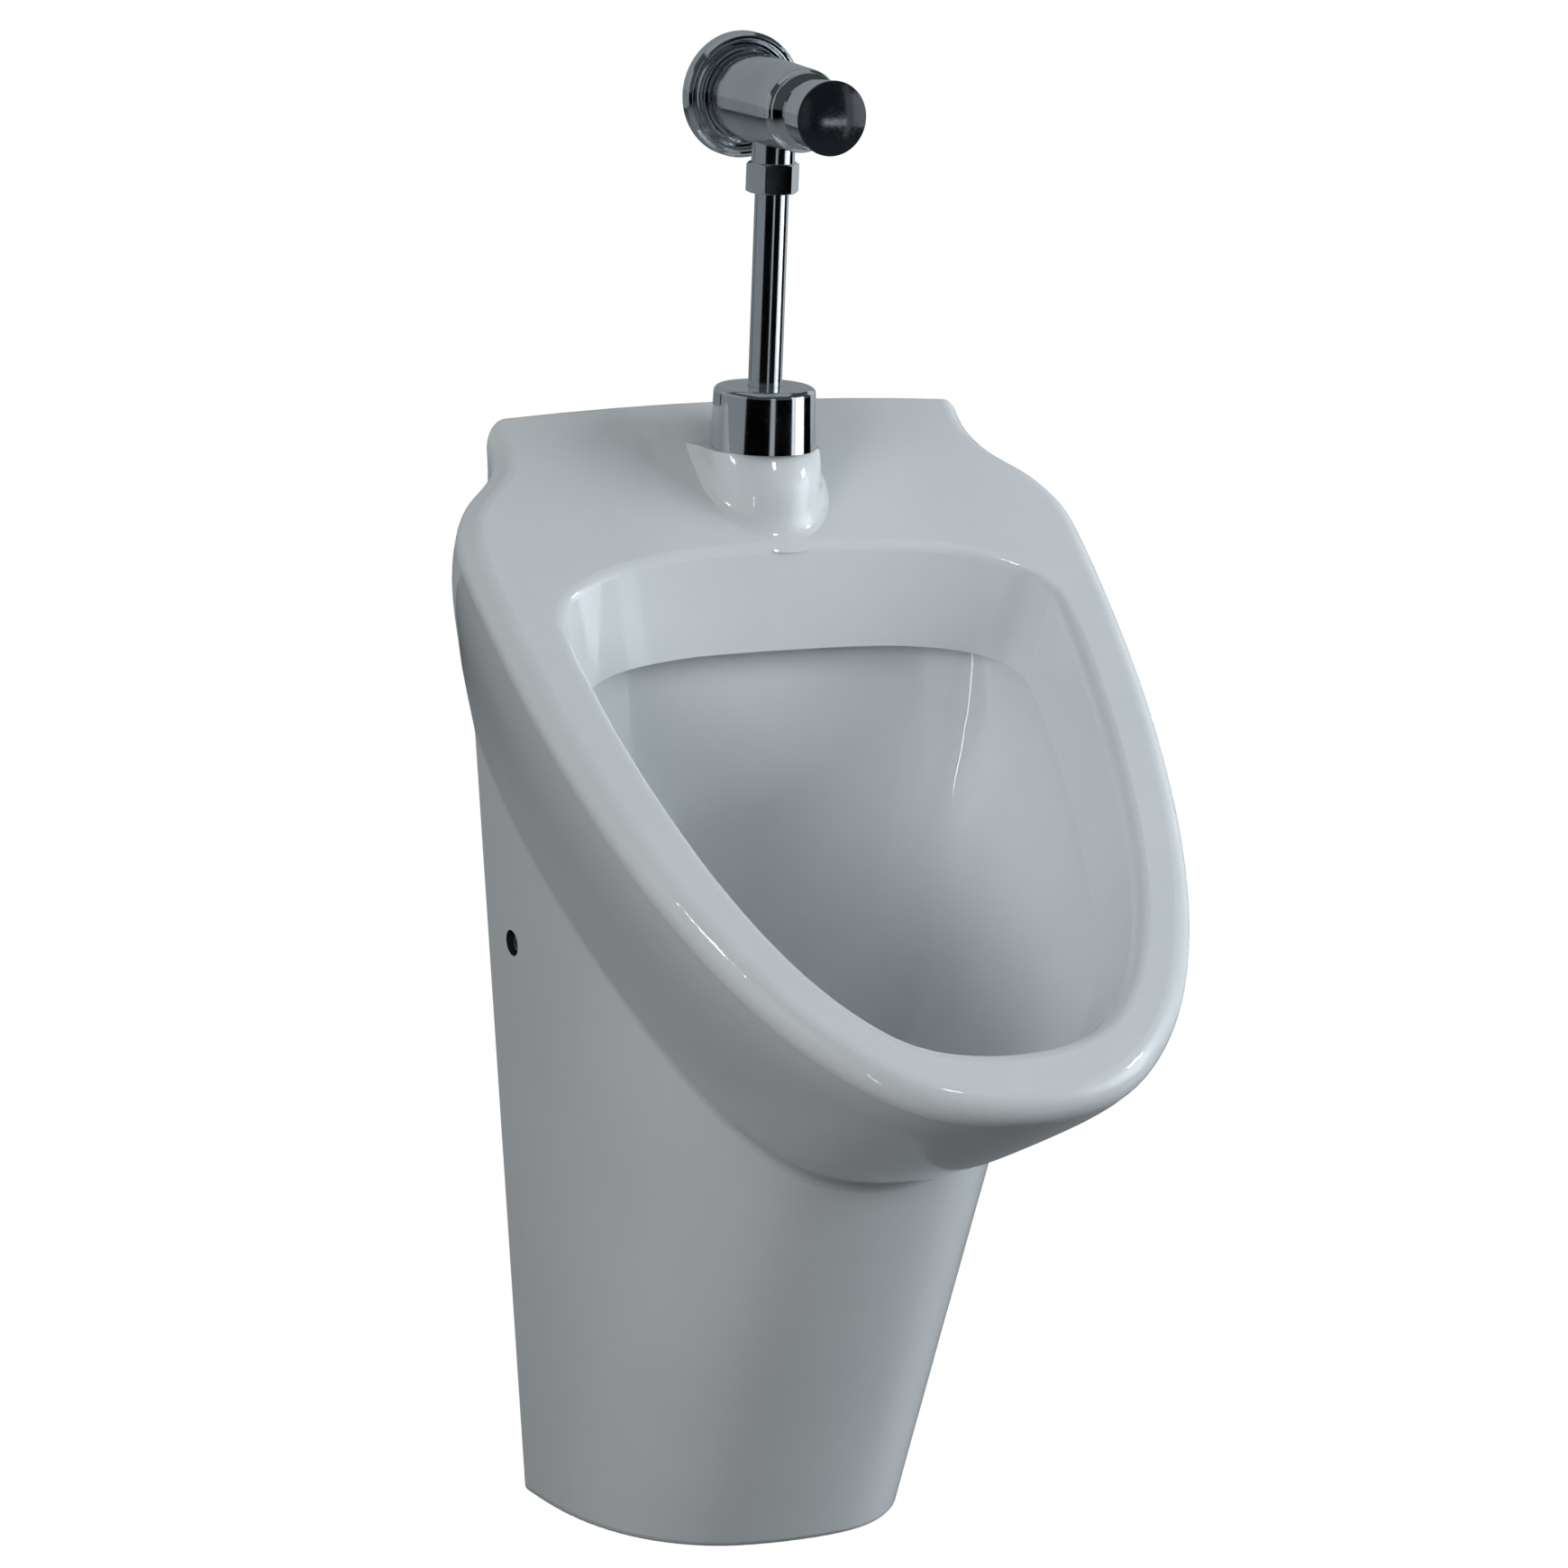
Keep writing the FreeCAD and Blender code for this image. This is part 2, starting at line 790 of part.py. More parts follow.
def side_bracket():
    # an angle plate on the wall that follows the lean of the skirt's inner face
    low = side_hole_height - side_bracket_height / 2
    face_x = skirt_x(low, side_bracket_reach, china_wall) - side_bracket_gap
    inner_x = face_x - side_bracket_sheet
    leg_x = face_x - side_bracket_wall_leg
    outline = [
        at(face_x, 0, low),
        at(face_x, side_bracket_reach, low),
        at(inner_x, side_bracket_reach, low),
        at(inner_x, side_bracket_sheet, low),
        at(leg_x, side_bracket_sheet, low),
        at(leg_x, 0, low),
        at(face_x, 0, low),
    ]
    lean = Vector(skirt_flare * side_bracket_height, 0, side_bracket_height)
    plate = Part.Face(Part.makePolygon(outline)).extrude(lean)
    radius = side_screw_radius + screw_clearance
    start = at(leg_x, side_hole_depth, side_hole_height)
    screw_hole = Part.makeCylinder(radius, 2 * side_bracket_wall_leg, start, sideways)
    wall_x = (leg_x + inner_x + skirt_flare * side_bracket_height) / 2
    wall_hole = rod_out(
        hanger_hole_radius, side_hole_height, -side_bracket_sheet, 2 * side_bracket_sheet, wall_x
    )
    return plate.cut([screw_hole, wall_hole])


def turned_side(profile):
    # a piece on the axis of the side screw; profile holds (radius, x)
    face = Part.Face(
        rounded_wire(profile, lambda r, x: at(x, side_hole_depth, side_hole_height + r))
    )
    return face.revolve(at(0, side_hole_depth, side_hole_height), sideways, 360)


def side_washer():
    seat_x = skirt_x(side_hole_height, side_hole_depth, 0) - side_counterbore
    inner = side_screw_radius + screw_clearance
    top_x = seat_x + side_washer_thickness
    return turned_side(
        [(inner, seat_x), (side_washer_radius, seat_x), (side_washer_radius, top_x), (inner, top_x)]
    )


def side_screw():
    seat_x = skirt_x(side_hole_height, side_hole_depth, 0) - side_counterbore
    head_x = seat_x + side_washer_thickness
    top_x = head_x + side_screw_head_height
    end_x = head_x - side_screw_length
    screw = turned_side(
        [
            (0, end_x),
            (side_screw_radius, end_x),
            (side_screw_radius, head_x),
            (side_screw_head_radius, head_x),
            (side_screw_head_radius, top_x, side_screw_dome),
            (0, top_x),
        ]
    )
    slot_width = side_screw_radius / 2
    slots = []
    for wide, tall in ((slot_width, 2 * side_screw_radius), (2 * side_screw_radius, slot_width)):
        corner = at(
            top_x - side_screw_head_height / 2,
            side_hole_depth + wide / 2,
            side_hole_height - tall / 2,
        )
        slots.append(Part.makeBox(side_screw_head_height, wide, tall, corner))
    return screw.cut(slots)


# Flush pipe


def flush_pipe():
    low = boss_height - pipe_insert
    high = branch_end + pipe_socket
    bore = pipe_radius - pipe_wall
    return turned_up([(bore, low), (pipe_radius, low), (pipe_radius, high), (bore, high)], pipe_depth)


def inlet_cap():
    # a chromed bell over the joint of pipe and china
    hole = pipe_radius + cap_pipe_gap
    top = boss_height + cap_height
    return turned_up(
        [
            (hole, top - cap_wall),
            (hole, top),
            (cap_top_radius, top, cap_edge),
            (cap_radius, boss_height),
            (cap_radius - cap_wall, boss_height),
            (cap_top_radius - cap_wall, top - cap_wall, cap_edge - cap_wall),
        ],
        pipe_depth,
    )


def inlet_connector():
    # a rubber bush that seals the pipe in the china
    bore = pipe_radius + pipe_clearance
    plug = inlet_bore_radius - connector_clearance
    low = boss_height - connector_depth
    flange = boss_height + connector_flange
    top = boss_height + connector_collar
    return turned_up(
        [
            (bore, low),
            (plug, low, 2 * connector_clearance),
            (plug, boss_height),
            (connector_flange_radius, boss_height),
            (connector_flange_radius, flange, connector_flange / 4),
            (connector_collar_radius, flange),
            (connector_collar_radius, top, connector_flange / 4),
            (bore, top),
        ],
        pipe_depth,
    )


def outlet_nut():
    low = branch_end - ferrule_height - nut_floor
    nut = rounded_nut(nut_flats, pipe_depth, low, low + nut_height, nut_turn, nut_chamfer)
    bore = rod_up(branch_radius + pipe_clearance, pipe_depth, low + nut_floor, low + 2 * nut_height)
    pipe_hole = rod_up(pipe_radius + pipe_clearance, pipe_depth, low - nut_floor, low + nut_height)
    return nut.cut([bore, pipe_hole])


def outlet_ferrule():
    bore = pipe_radius + running_gap
    low = branch_end - ferrule_height
    outer = branch_radius - pipe_clearance
    return turned_up([(bore, low), (outer, low), (outer, branch_end), (bore, branch_end)], pipe_depth)


# Flush valve


def wall_flange():
    # a cover ring with a rolled rim and a recess round the valve body
    bore = valve_rear_radius + sliding_gap
    back = flange_gasket_thickness
    rim = back + flange_rim_height
    recess = back + flange_recess_height
    collar = back + flange_collar_height
    return turned_out(
        [
            (bore, back),
            (flange_radius, back),
            (flange_radius, rim - flange_rim_width / 2, flange_rim_width / 2),
            (flange_radius - flange_rim_width / 2, rim, flange_rim_width / 4),
            (flange_radius - flange_rim_width, rim, flange_rim_width / 4),
            (flange_recess_radius, recess, sleeve_edge),
            (flange_collar_radius, recess, sleeve_edge),
            (flange_collar_radius - sleeve_edge, collar, sleeve_edge / 2),
            (bore, collar),
        ],
        valve_height,
    )


def flange_gasket():
    bore = valve_rear_radius + 2 * sliding_gap
    outer = flange_radius - flange_rim_width / 2
    return turned_out(
        [(bore, 0), (outer, 0), (outer, flange_gasket_thickness), (bore, flange_gasket_thickness)],
        valve_height,
    )


def valve_body():
    # a tapered barrel with a threaded supply spigot behind and a branch below
    barrel = turned_out(
        [
            (0, -supply_length),
            (supply_radius, -supply_length),
            (supply_radius, valve_back),
            (valve_rear_radius, valve_back),
            (valve_rear_radius, valve_back + valve_shank),
            (valve_front_radius, valve_front, valve_edge),
            (0, valve_front),
        ],
        valve_height,
    )
    branch = rod_up(branch_radius, pipe_depth, branch_end, valve_height)
    water_way = turned_out(
        [
            (0, -2 * supply_length),
            (supply_bore, -2 * supply_length),
            (supply_bore, pressure_bore_start),
            (pressure_bore, pressure_bore_start),
            (pressure_bore, seat_depth),
            (seat_ring_radius, seat_depth),
            (seat_ring_radius, guide_back),
            (guide_radius, guide_back),
            (guide_radius, 2 * valve_front),
            (0, 2 * valve_front),
        ],
        valve_height,
    )
    outlet = rod_up(branch_bore, pipe_depth, branch_end, valve_height)
    socket_top = branch_end + pipe_socket + branch_shoulder
    socket = rod_up(pipe_radius + pipe_clearance, pipe_depth, branch_end, socket_top)
    return barrel.fuse(branch).removeSplitter().cut([water_way, outlet, socket])


def inlet_filter():
    # a perforated cup in the supply spigot
    outer = supply_bore - 2 * running_gap
    back = -supply_length
    end = back + filter_length
    cup = turned_out(
        [
            (outer - filter_wall, back - filter_flange),
            (filter_flange_radius, back - filter_flange),
            (filter_flange_radius, back),
            (outer, back),
            (outer, end),
            (0, end),
            (0, end - filter_wall),
            (outer - filter_wall, end - filter_wall),
        ],
        valve_height,
    )
    holes = []
    for ring, count in ((0, 1), (3 * filter_hole, 6)):
        for i in range(count):
            angle = 2 * math.pi * i / count
            height = valve_height + ring * math.sin(angle)
            x = ring * math.cos(angle)
            holes.append(rod_out(filter_hole, height, end - 2 * filter_wall, end + filter_wall, x))
    return cup.cut(holes)


def valve_seat():
    outer = seat_ring_radius - running_gap
    front = seat_depth + seat_thickness
    return turned_out(
        [(seat_bore, seat_depth), (outer, seat_depth), (outer, front), (seat_bore, front, sleeve_edge)],
        valve_height,
    )


def disc_front():
    return seat_depth - seat_gap - disc_washer_thickness


def valve_disc():
    front = disc_front()
    back = front - disc_thickness
    bore = stem_radius + running_gap
    return turned_out(
        [(bore, back), (disc_radius, back, sleeve_edge), (disc_radius, front), (bore, front)],
        valve_height,
    )


def disc_washer():
    back = disc_front()
    front = back + disc_washer_thickness
    bore = stem_radius + running_gap
    return turned_out(
        [(bore, back), (disc_washer_radius, back), (disc_washer_radius, front), (bore, front)],
        valve_height,
    )


def valve_stem():
    back = disc_front() - disc_thickness - stem_tail
    return rod_out(stem_radius, valve_height, back, sleeve_front)


def guide_groove():
    return guide_radius - running_gap - oring_groove


def stem_guide():
    # a plug that guides the stem and closes the water way
    bore = stem_radius + running_gap
    outer = guide_radius - running_gap
    middle = (guide_back + guide_front) / 2
    return turned_out(
        [
            (bore, guide_back),
            (outer, guide_back),
            (outer, middle - oring_width / 2),
            (guide_groove(), middle - oring_width / 2),
            (guide_groove(), middle + oring_width / 2),
            (outer, middle + oring_width / 2),
            (outer, guide_front),
            (bore, guide_front),
        ],
        valve_height,
    )


def guide_oring():
    thickness = (guide_radius - guide_groove()) / 2 - running_gap
    middle = (guide_back + guide_front) / 2
    centre = guide_groove() + running_gap + thickness
    return Part.makeTorus(centre, thickness, at(0, middle, valve_height), outward)


def head_nut():
    # the neck that closes the barrel and guides the sleeve of the button
    tail = guide_radius - running_gap
    collar = valve_front + collar_edge
    neck_front = web_back - button_travel - button_stop_gap
    return turned_out(
        [
            (neck_bore, guide_front),
            (tail, guide_front),
            (tail, valve_front),
            (collar_radius, valve_front),
            (collar_radius, collar, collar_edge / 2),
            (neck_radius, valve_front + collar_length),
            (neck_radius, neck_front),
            (neck_bore, neck_front),
        ],
        valve_height,
    )


def button_sleeve():
    # the chromed ring behind the button, sliding over the neck
    hole = stem_radius + running_gap
    bore = neck_radius + sliding_gap
    return turned_out(
        [
            (bore, sleeve_back),
            (sleeve_rear_radius, sleeve_back, sleeve_edge),
            (sleeve_front_radius, sleeve_front, sleeve_edge),
            (hole, sleeve_front),
            (hole, web_back),
            (bore, web_back),
        ],
        valve_height,
    )


def push_button():
    # a domed disc
    rim = sleeve_front + button_rim
    crown = rim + button_crown
    dome_radius = (button_radius**2 + button_crown**2) / (2 * button_crown)
    disc = rod_out(button_radius, valve_height, sleeve_front, crown)
    disc = disc.common(Part.makeSphere(dome_radius, at(0, crown - dome_radius, valve_height)))
    edge = edges_where(
        disc,
        lambda e: abs(e.BoundBox.YMin - at(0, rim, 0).y) < 0.01 and e.BoundBox.YLength < 0.01,
    )
    return disc.makeFillet(button_edge, edge)


def helix_place(turn):
    # a point on the spring's centre line and its direction there
    low = guide_front + spring_wire + running_gap
    rise = web_back - guide_front - 2 * (spring_wire + running_gap)
    angle = 2 * math.pi * turn
    across = Vector(math.cos(angle), 0, math.sin(angle))
    along = Vector(-math.sin(angle), 0, math.cos(angle))
    place = at(0, low + rise * turn / spring_turns, valve_height) + across * spring_radius
    direction = along * (2 * math.pi * spring_radius) + outward * (rise / spring_turns)
    direction.normalize()
    return place, direction


def tangent_arc(start, end, corner):
    # the arc that touches both lines from its ends to the corner
    middle = (start + end) * 0.5
    half = (end - start).Length / 2
    rise = corner - middle
    angle = math.atan2(rise.Length, half)
    top = middle + rise * (half * math.tan(angle / 2) / rise.Length)
    return Part.Arc(start, top, end).toShape()


def biarc(start, start_way, end, end_way):
    gap = end - start
    ways = start_way + end_way
    bend = 2 * (1 - start_way.dot(end_way))
    along = gap.dot(ways)
    reach = (math.sqrt(along**2 + bend * gap.dot(gap)) - along) / bend
    first = start + start_way * reach
    second = end - end_way * reach
    joint = (first + second) * 0.5
    return [tangent_arc(start, joint, first), tangent_arc(joint, end, second)]


def return_spring():
    quarters = 4 * spring_turns
    stops = [helix_place(i / 4) for i in range(quarters + 1)]
    edges = []
    for (start, start_way), (end, end_way) in zip(stops, stops[1:]):
        edges += biarc(start, start_way, end, end_way)
    place, direction = stops[0]
    section = Part.Wire(Part.Circle(place, direction, spring_wire).toShape())
    tube = Part.BRepOffsetAPI.MakePipeShell(Part.Wire(edges))
    tube.add(section)
    tube.build()
    tube.makeSolid()
    return tube.shape()


def spring_gap():
    # least gap between points at least half a turn apart, less the wire
    steps = 24
    points = [helix_place(i / steps)[0] for i in range(steps * spring_turns + 1)]
    gaps = []
    for i, point in enumerate(points):
        gaps += [(point - other).Length for other in points[i + steps // 2 :]]
    return min(gaps) - 2 * spring_wire


# Waste outlet


def ring_up(inner, outer, low, high):
    return turned_up([(inner, low), (outer, low), (outer, high), (inner, high)], outlet_depth)


def waste_gasket_ring():
    return ring_up(
        tail_radius + pipe_clearance,
        waste_flange_radius - pipe_clearance,
        outlet_seat,
        outlet_seat + waste_gasket,
    )


def waste_flange():
    # a flanged tail with a recess for the strainer and a bridge for its screw
    low = outlet_seat + waste_gasket
    seat = waste_top - strainer_sheet
    recess = strainer_radius + strainer_gap
    flange = turned_up(
        [
            (tail_bore, tail_end),
            (tail_radius, tail_end),
            (tail_radius, low),
            (waste_flange_radius, low),
            (waste_flange_radius, waste_top, strainer_sheet),
            (recess, waste_top),
            (recess, seat),
            (tail_bore, seat),
        ],
        outlet_depth,
    )
    span = tail_bore + tail_wall / 2
    corner = at(-span, outlet_depth + bridge_width / 2, seat - bridge_height)
    bar = Part.makeBox(2 * span, bridge_width, bridge_height, corner)
    post = rod_up(bridge_boss_radius, outlet_depth, seat - bridge_height, seat)
    hole = rod_up(strainer_screw_radius + screw_clearance, outlet_depth, tail_end, waste_top)
    return flange.fuse([bar, post]).removeSplitter().cut(hole)


def strainer():
    low = waste_top - strainer_sheet
    plate = ring_up(strainer_screw_radius + screw_clearance, strainer_radius, low, waste_top)
    holes = []
    for ring, count in strainer_rings:
        for i in range(count):
            angle = 2 * math.pi * i / count
            depth = outlet_depth + ring * math.sin(angle)
            x = ring * math.cos(angle)
            holes.append(rod_up(strainer_hole, depth, low - strainer_sheet, waste_top + strainer_sheet, x))
    return plate.cut(holes)


def strainer_screw():
    top = waste_top + strainer_screw_height
    end = waste_top - strainer_screw_length
    screw = turned_up(
        [
            (0, end),
            (strainer_screw_radius, end),
            (strainer_screw_radius, waste_top),
            (strainer_screw_head, waste_top),
            (strainer_screw_head, top, strainer_screw_height / 2),
            (0, top),
        ],
        outlet_depth,
    )
    slot = strainer_screw_radius / 2
    corner = at(-strainer_screw_head, outlet_depth + slot / 2, top - strainer_screw_height / 2)
    return screw.cut(Part.makeBox(2 * strainer_screw_head, slot, strainer_screw_height, corner))


def spigot_gasket_ring():
    return ring_up(
        tail_radius + pipe_clearance,
        outlet_seat_radius,
        spigot_end - spigot_gasket,
        spigot_end,
    )


def waste_backnut():
    high = spigot_end - spigot_gasket
    low = high - backnut_height
    nut = rounded_nut(backnut_flats, outlet_depth, low, high, 0, backnut_chamfer)
    return nut.cut(rod_up(tail_radius + pipe_clearance, outlet_depth, low - fit_gap, high + fit_gap))


# Bottle trap


def grip_up(shape, radius, low):
    return fluted(shape, radius, lambda x, d: at(x, outlet_depth + d, low), upright)


def trap_coupling_nut():
    high = trap_neck_top + trap_seal + coupling_roof
    low = high - coupling_height
    hole = tail_radius + fit_gap
    bore = trap_neck_radius + fit_gap
    nut = turned_up(
        [
            (bore, low),
            (coupling_radius, low),
            (coupling_radius, high, coupling_roof / 2),
            (hole, high),
            (hole, high - coupling_roof),
            (bore, high - coupling_roof),
        ],
        outlet_depth,
    )
    return grip_up(nut, coupling_radius + grip_flute / 2, low - coupling_height)


def trap_inlet_seal():
    return ring_up(
        tail_radius + running_gap, trap_neck_radius - fit_gap, trap_neck_top, trap_neck_top + trap_seal
    )


def trap_body():
    # a bottle with a ledge in its neck for the dip tube and a branch to the wall
    outer = turned_up(
        [
            (0, trap_end),
            (trap_radius, trap_end),
            (trap_radius, trap_shoulder_low),
            (trap_neck_radius, trap_shoulder_top),
            (trap_neck_radius, trap_neck_top),
            (0, trap_neck_top),
        ],
        outlet_depth,
    )
    branch = rod_out(outlet_branch_radius, trap_outlet, outlet_branch_end, outlet_depth)
    neck = tail_radius + fit_gap
    ledge = dip_radius + fit_gap
    bottle = trap_radius - trap_wall
    space = turned_up(
        [
            (0, trap_end),
            (bottle, trap_end),
            (bottle, trap_shoulder_low - trap_wall),
            (ledge, trap_shoulder_top - trap_wall),
            (ledge, trap_ledge),
            (neck, trap_ledge),
            (neck, trap_neck_top),
            (0, trap_neck_top),
        ],
        outlet_depth,
    )
    socket_end = outlet_branch_end + outlet_socket
    socket = rod_out(outlet_pipe_radius + fit_gap, trap_outlet, outlet_branch_end, socket_end)
    way = rod_out(outlet_pipe_radius - outlet_pipe_wall, trap_outlet, socket_end, outlet_depth)
    return outer.fuse(branch).removeSplitter().cut([space, socket, way])


def trap_dip_tube():
    collar = tail_radius
    bore = dip_radius - dip_wall
    top = trap_ledge + dip_collar
    end = top - dip_length
    return turned_up(
        [
            (bore, end),
            (dip_radius, end),
            (dip_radius, trap_ledge),
            (collar, trap_ledge),
            (collar, top),
            (bore, top),
        ],
        outlet_depth,
    )


def trap_cup():
    # the screwed bottom of the trap, with flutes to grip
    bore = trap_radius + fit_gap
    high = trap_end + cup_overlap
    ledge = trap_end - cup_seal
    floor = ledge - cup_sump
    low = floor - cup_floor
    inner = trap_radius - trap_wall
    cup = turned_up(
        [
            (0, low),
            (cup_radius, low, cup_floor),
            (cup_radius, high),
            (bore, high),
            (bore, ledge),
            (inner, ledge),
            (inner, floor, cup_floor),
            (0, floor),
        ],
        outlet_depth,
    )
    return grip_up(cup, cup_radius + grip_flute / 2, low - cup_overlap)


def trap_cup_seal():
    return ring_up(trap_radius - trap_wall, trap_radius, trap_end - cup_seal, trap_end)


def trap_outlet_nut():
    near = outlet_branch_end - outlet_seal - outlet_nut_wall
    far = near + outlet_nut_length
    hole = outlet_pipe_radius + fit_gap
    bore = outlet_branch_radius + fit_gap
    nut = turned_out(
        [
            (hole, near),
            (outlet_nut_radius, near, outlet_nut_wall / 2),
            (outlet_nut_radius, far),
            (bore, far),
            (bore, near + outlet_nut_wall),
            (hole, near + outlet_nut_wall),
        ],
        trap_outlet,
    )
    radius = outlet_nut_radius + grip_flute / 2
    return fluted(nut, radius, lambda x, h: at(x, near - outlet_nut_length, trap_outlet + h), outward)


def trap_outlet_seal():
    inner = outlet_pipe_radius - outlet_pipe_step + running_gap
    outer = outlet_branch_radius - running_gap
    near = outlet_branch_end - outlet_seal
    return turned_out(
        [(inner, near), (outer, near), (outer, outlet_branch_end), (inner, outlet_branch_end)],
        trap_outlet,
    )


def trap_outlet_pipe():
    # full size where it is free, and eased where it enters the nut
    bore = outlet_pipe_radius - outlet_pipe_wall
    eased = outlet_pipe_radius - outlet_pipe_step
    nut = outlet_branch_end - outlet_seal - outlet_nut_wall - fit_gap
    far = outlet_branch_end + outlet_socket - fit_gap
    return turned_out(
        [
            (bore, -outlet_pipe_length),
            (outlet_pipe_radius, -outlet_pipe_length),
            (outlet_pipe_radius, nut),
            (eased, nut),
            (eased, far),
            (bore, far),
        ],
        trap_outlet,
    )


def pair(shape):
    return Part.makeCompound([shape, mirrored(shape)])


parts = {
    "ceramic_body": ceramic_body(),
    "hanger_bracket_left": hanger_bracket(-hanger_spacing / 2),
    "hanger_bracket_right": hanger_bracket(hanger_spacing / 2),
    "side_bracket_left": mirrored(side_bracket()),
    "side_bracket_right": side_bracket(),
    "side_screws": pair(side_screw()),
    "side_washers": pair(side_washer()),
    "flush_pipe": flush_pipe(),
    "inlet_cap": inlet_cap(),
    "inlet_connector": inlet_connector(),
    "outlet_nut": outlet_nut(),
    "outlet_ferrule": outlet_ferrule(),
    "wall_flange": wall_flange(),
    "flange_gasket": flange_gasket(),
    "valve_body": valve_body(),
    "inlet_filter": inlet_filter(),
    "valve_seat": valve_seat(),
    "valve_disc": valve_disc(),
    "disc_washer": disc_washer(),
    "valve_stem": valve_stem(),
    "stem_guide": stem_guide(),
    "guide_oring": guide_oring(),
    "head_nut": head_nut(),
    "button_sleeve": button_sleeve(),
    "push_button": push_button(),
    "return_spring": return_spring(),
    "waste_gasket": waste_gasket_ring(),
    "waste_flange": waste_flange(),
    "strainer": strainer(),
    "strainer_screw": strainer_screw(),
    "spigot_gasket": spigot_gasket_ring(),
    "waste_backnut": waste_backnut(),
    "trap_coupling_nut": trap_coupling_nut(),
    "trap_inlet_seal": trap_inlet_seal(),
    "trap_body": trap_body(),
    "trap_dip_tube": trap_dip_tube(),
    "trap_cup": trap_cup(),
    "trap_cup_seal": trap_cup_seal(),
    "trap_outlet_nut": trap_outlet_nut(),
    "trap_outlet_seal": trap_outlet_seal(),
    "trap_outlet_pipe": trap_outlet_pipe(),
}

for name, shape in parts.items():
    shape.exportStep(f"parts/{name}.step")
    print(name, len(shape.Solids), round(shape.Volume, 1), shape.isValid())
print("least gap between the spring's turns", round(spring_gap(), 2))
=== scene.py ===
import bpy
import json
import math
from mathutils import Matrix, Vector


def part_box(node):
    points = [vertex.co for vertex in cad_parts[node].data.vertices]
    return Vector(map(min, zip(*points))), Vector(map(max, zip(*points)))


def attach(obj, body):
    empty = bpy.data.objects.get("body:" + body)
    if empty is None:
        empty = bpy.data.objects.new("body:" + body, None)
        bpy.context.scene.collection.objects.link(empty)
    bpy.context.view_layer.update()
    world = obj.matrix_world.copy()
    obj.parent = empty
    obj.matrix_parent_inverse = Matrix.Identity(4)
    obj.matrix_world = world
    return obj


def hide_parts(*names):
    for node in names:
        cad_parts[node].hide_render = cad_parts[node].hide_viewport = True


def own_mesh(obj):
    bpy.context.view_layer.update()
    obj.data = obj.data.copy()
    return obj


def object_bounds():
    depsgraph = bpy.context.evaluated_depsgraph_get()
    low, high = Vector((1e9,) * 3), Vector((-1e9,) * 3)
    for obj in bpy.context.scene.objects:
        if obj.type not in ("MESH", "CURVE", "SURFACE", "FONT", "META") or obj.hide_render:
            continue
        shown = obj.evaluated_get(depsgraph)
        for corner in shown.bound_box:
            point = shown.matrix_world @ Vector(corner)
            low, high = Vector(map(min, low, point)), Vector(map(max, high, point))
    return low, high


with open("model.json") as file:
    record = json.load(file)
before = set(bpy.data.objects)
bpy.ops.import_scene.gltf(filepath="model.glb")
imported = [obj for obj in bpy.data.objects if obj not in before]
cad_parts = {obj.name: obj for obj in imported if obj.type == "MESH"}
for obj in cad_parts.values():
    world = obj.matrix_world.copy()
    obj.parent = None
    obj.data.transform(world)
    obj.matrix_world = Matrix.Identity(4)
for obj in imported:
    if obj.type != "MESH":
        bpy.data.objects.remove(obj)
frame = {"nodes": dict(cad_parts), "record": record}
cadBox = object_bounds()
cadNodes = frame["nodes"]
print("frame loaded with", len(cadNodes), "pieces")


# small helpers for node trees

def addNode(tree, kind, settings=None, values=None):
    node = tree.nodes.new(kind)
    for key, value in (settings or {}).items():
        setattr(node, key, value)
    for key, value in (values or {}).items():
        node.inputs[key].default_value = value
    return node


def addGroup(name, inputs, outputs):
    tree = bpy.data.node_groups.new(name, "ShaderNodeTree")
    for label, value in inputs.items():
        socket = tree.interface.new_socket(label, in_out="INPUT", socket_type="NodeSocketFloat")
        socket.default_value = value
    for label in outputs:
        tree.interface.new_socket(label, in_out="OUTPUT", socket_type="NodeSocketFloat")
    start = addNode(tree, "NodeGroupInput")
    end = addNode(tree, "NodeGroupOutput")
    return tree, start, end


def objectPlace(tree):
    return addNode(tree, "ShaderNodeTexCoord").outputs["Object"]


def mathNode(tree, operation, *values):
    node = addNode(tree, "ShaderNodeMath", {"operation": operation})
    for socket, value in zip(node.inputs, values):
        if isinstance(value, (int, float)):
            socket.default_value = value
        else:
            tree.links.new(value, socket)
    return node.outputs[0]


def noiseAt(tree, coordinate, scale, detail=3.0, roughness=0.5):
    noise = addNode(tree, "ShaderNodeTexNoise", values={"Detail": detail, "Roughness": roughness})
    tree.links.new(coordinate, noise.inputs["Vector"])
    if isinstance(scale, (int, float)):
        noise.inputs["Scale"].default_value = scale
    else:
        tree.links.new(scale, noise.inputs["Scale"])
    return noise.outputs["Fac"]


def cellsAt(tree, coordinate, scale):
    cells = addNode(tree, "ShaderNodeTexVoronoi", values={"Scale": scale})
    tree.links.new(coordinate, cells.inputs["Vector"])
    return cells.outputs


def stretched(tree, coordinate, scale, turn):
    mapping = addNode(tree, "ShaderNodeMapping", values={"Scale": scale, "Rotation": turn})
    tree.links.new(coordinate, mapping.inputs["Vector"])
    return mapping.outputs["Vector"]


def remap(tree, value, edge, toLow=0.0, toHigh=1.0):
    low, high = edge
    ramp = addNode(
        tree,
        "ShaderNodeMapRange",
        {"interpolation_type": "SMOOTHSTEP"},
        {"From Min": low, "From Max": high, "To Min": toLow, "To Max": toHigh},
    )
    tree.links.new(value, ramp.inputs["Value"])
    return ramp.outputs["Result"]


# shared surface effects, each with its pattern

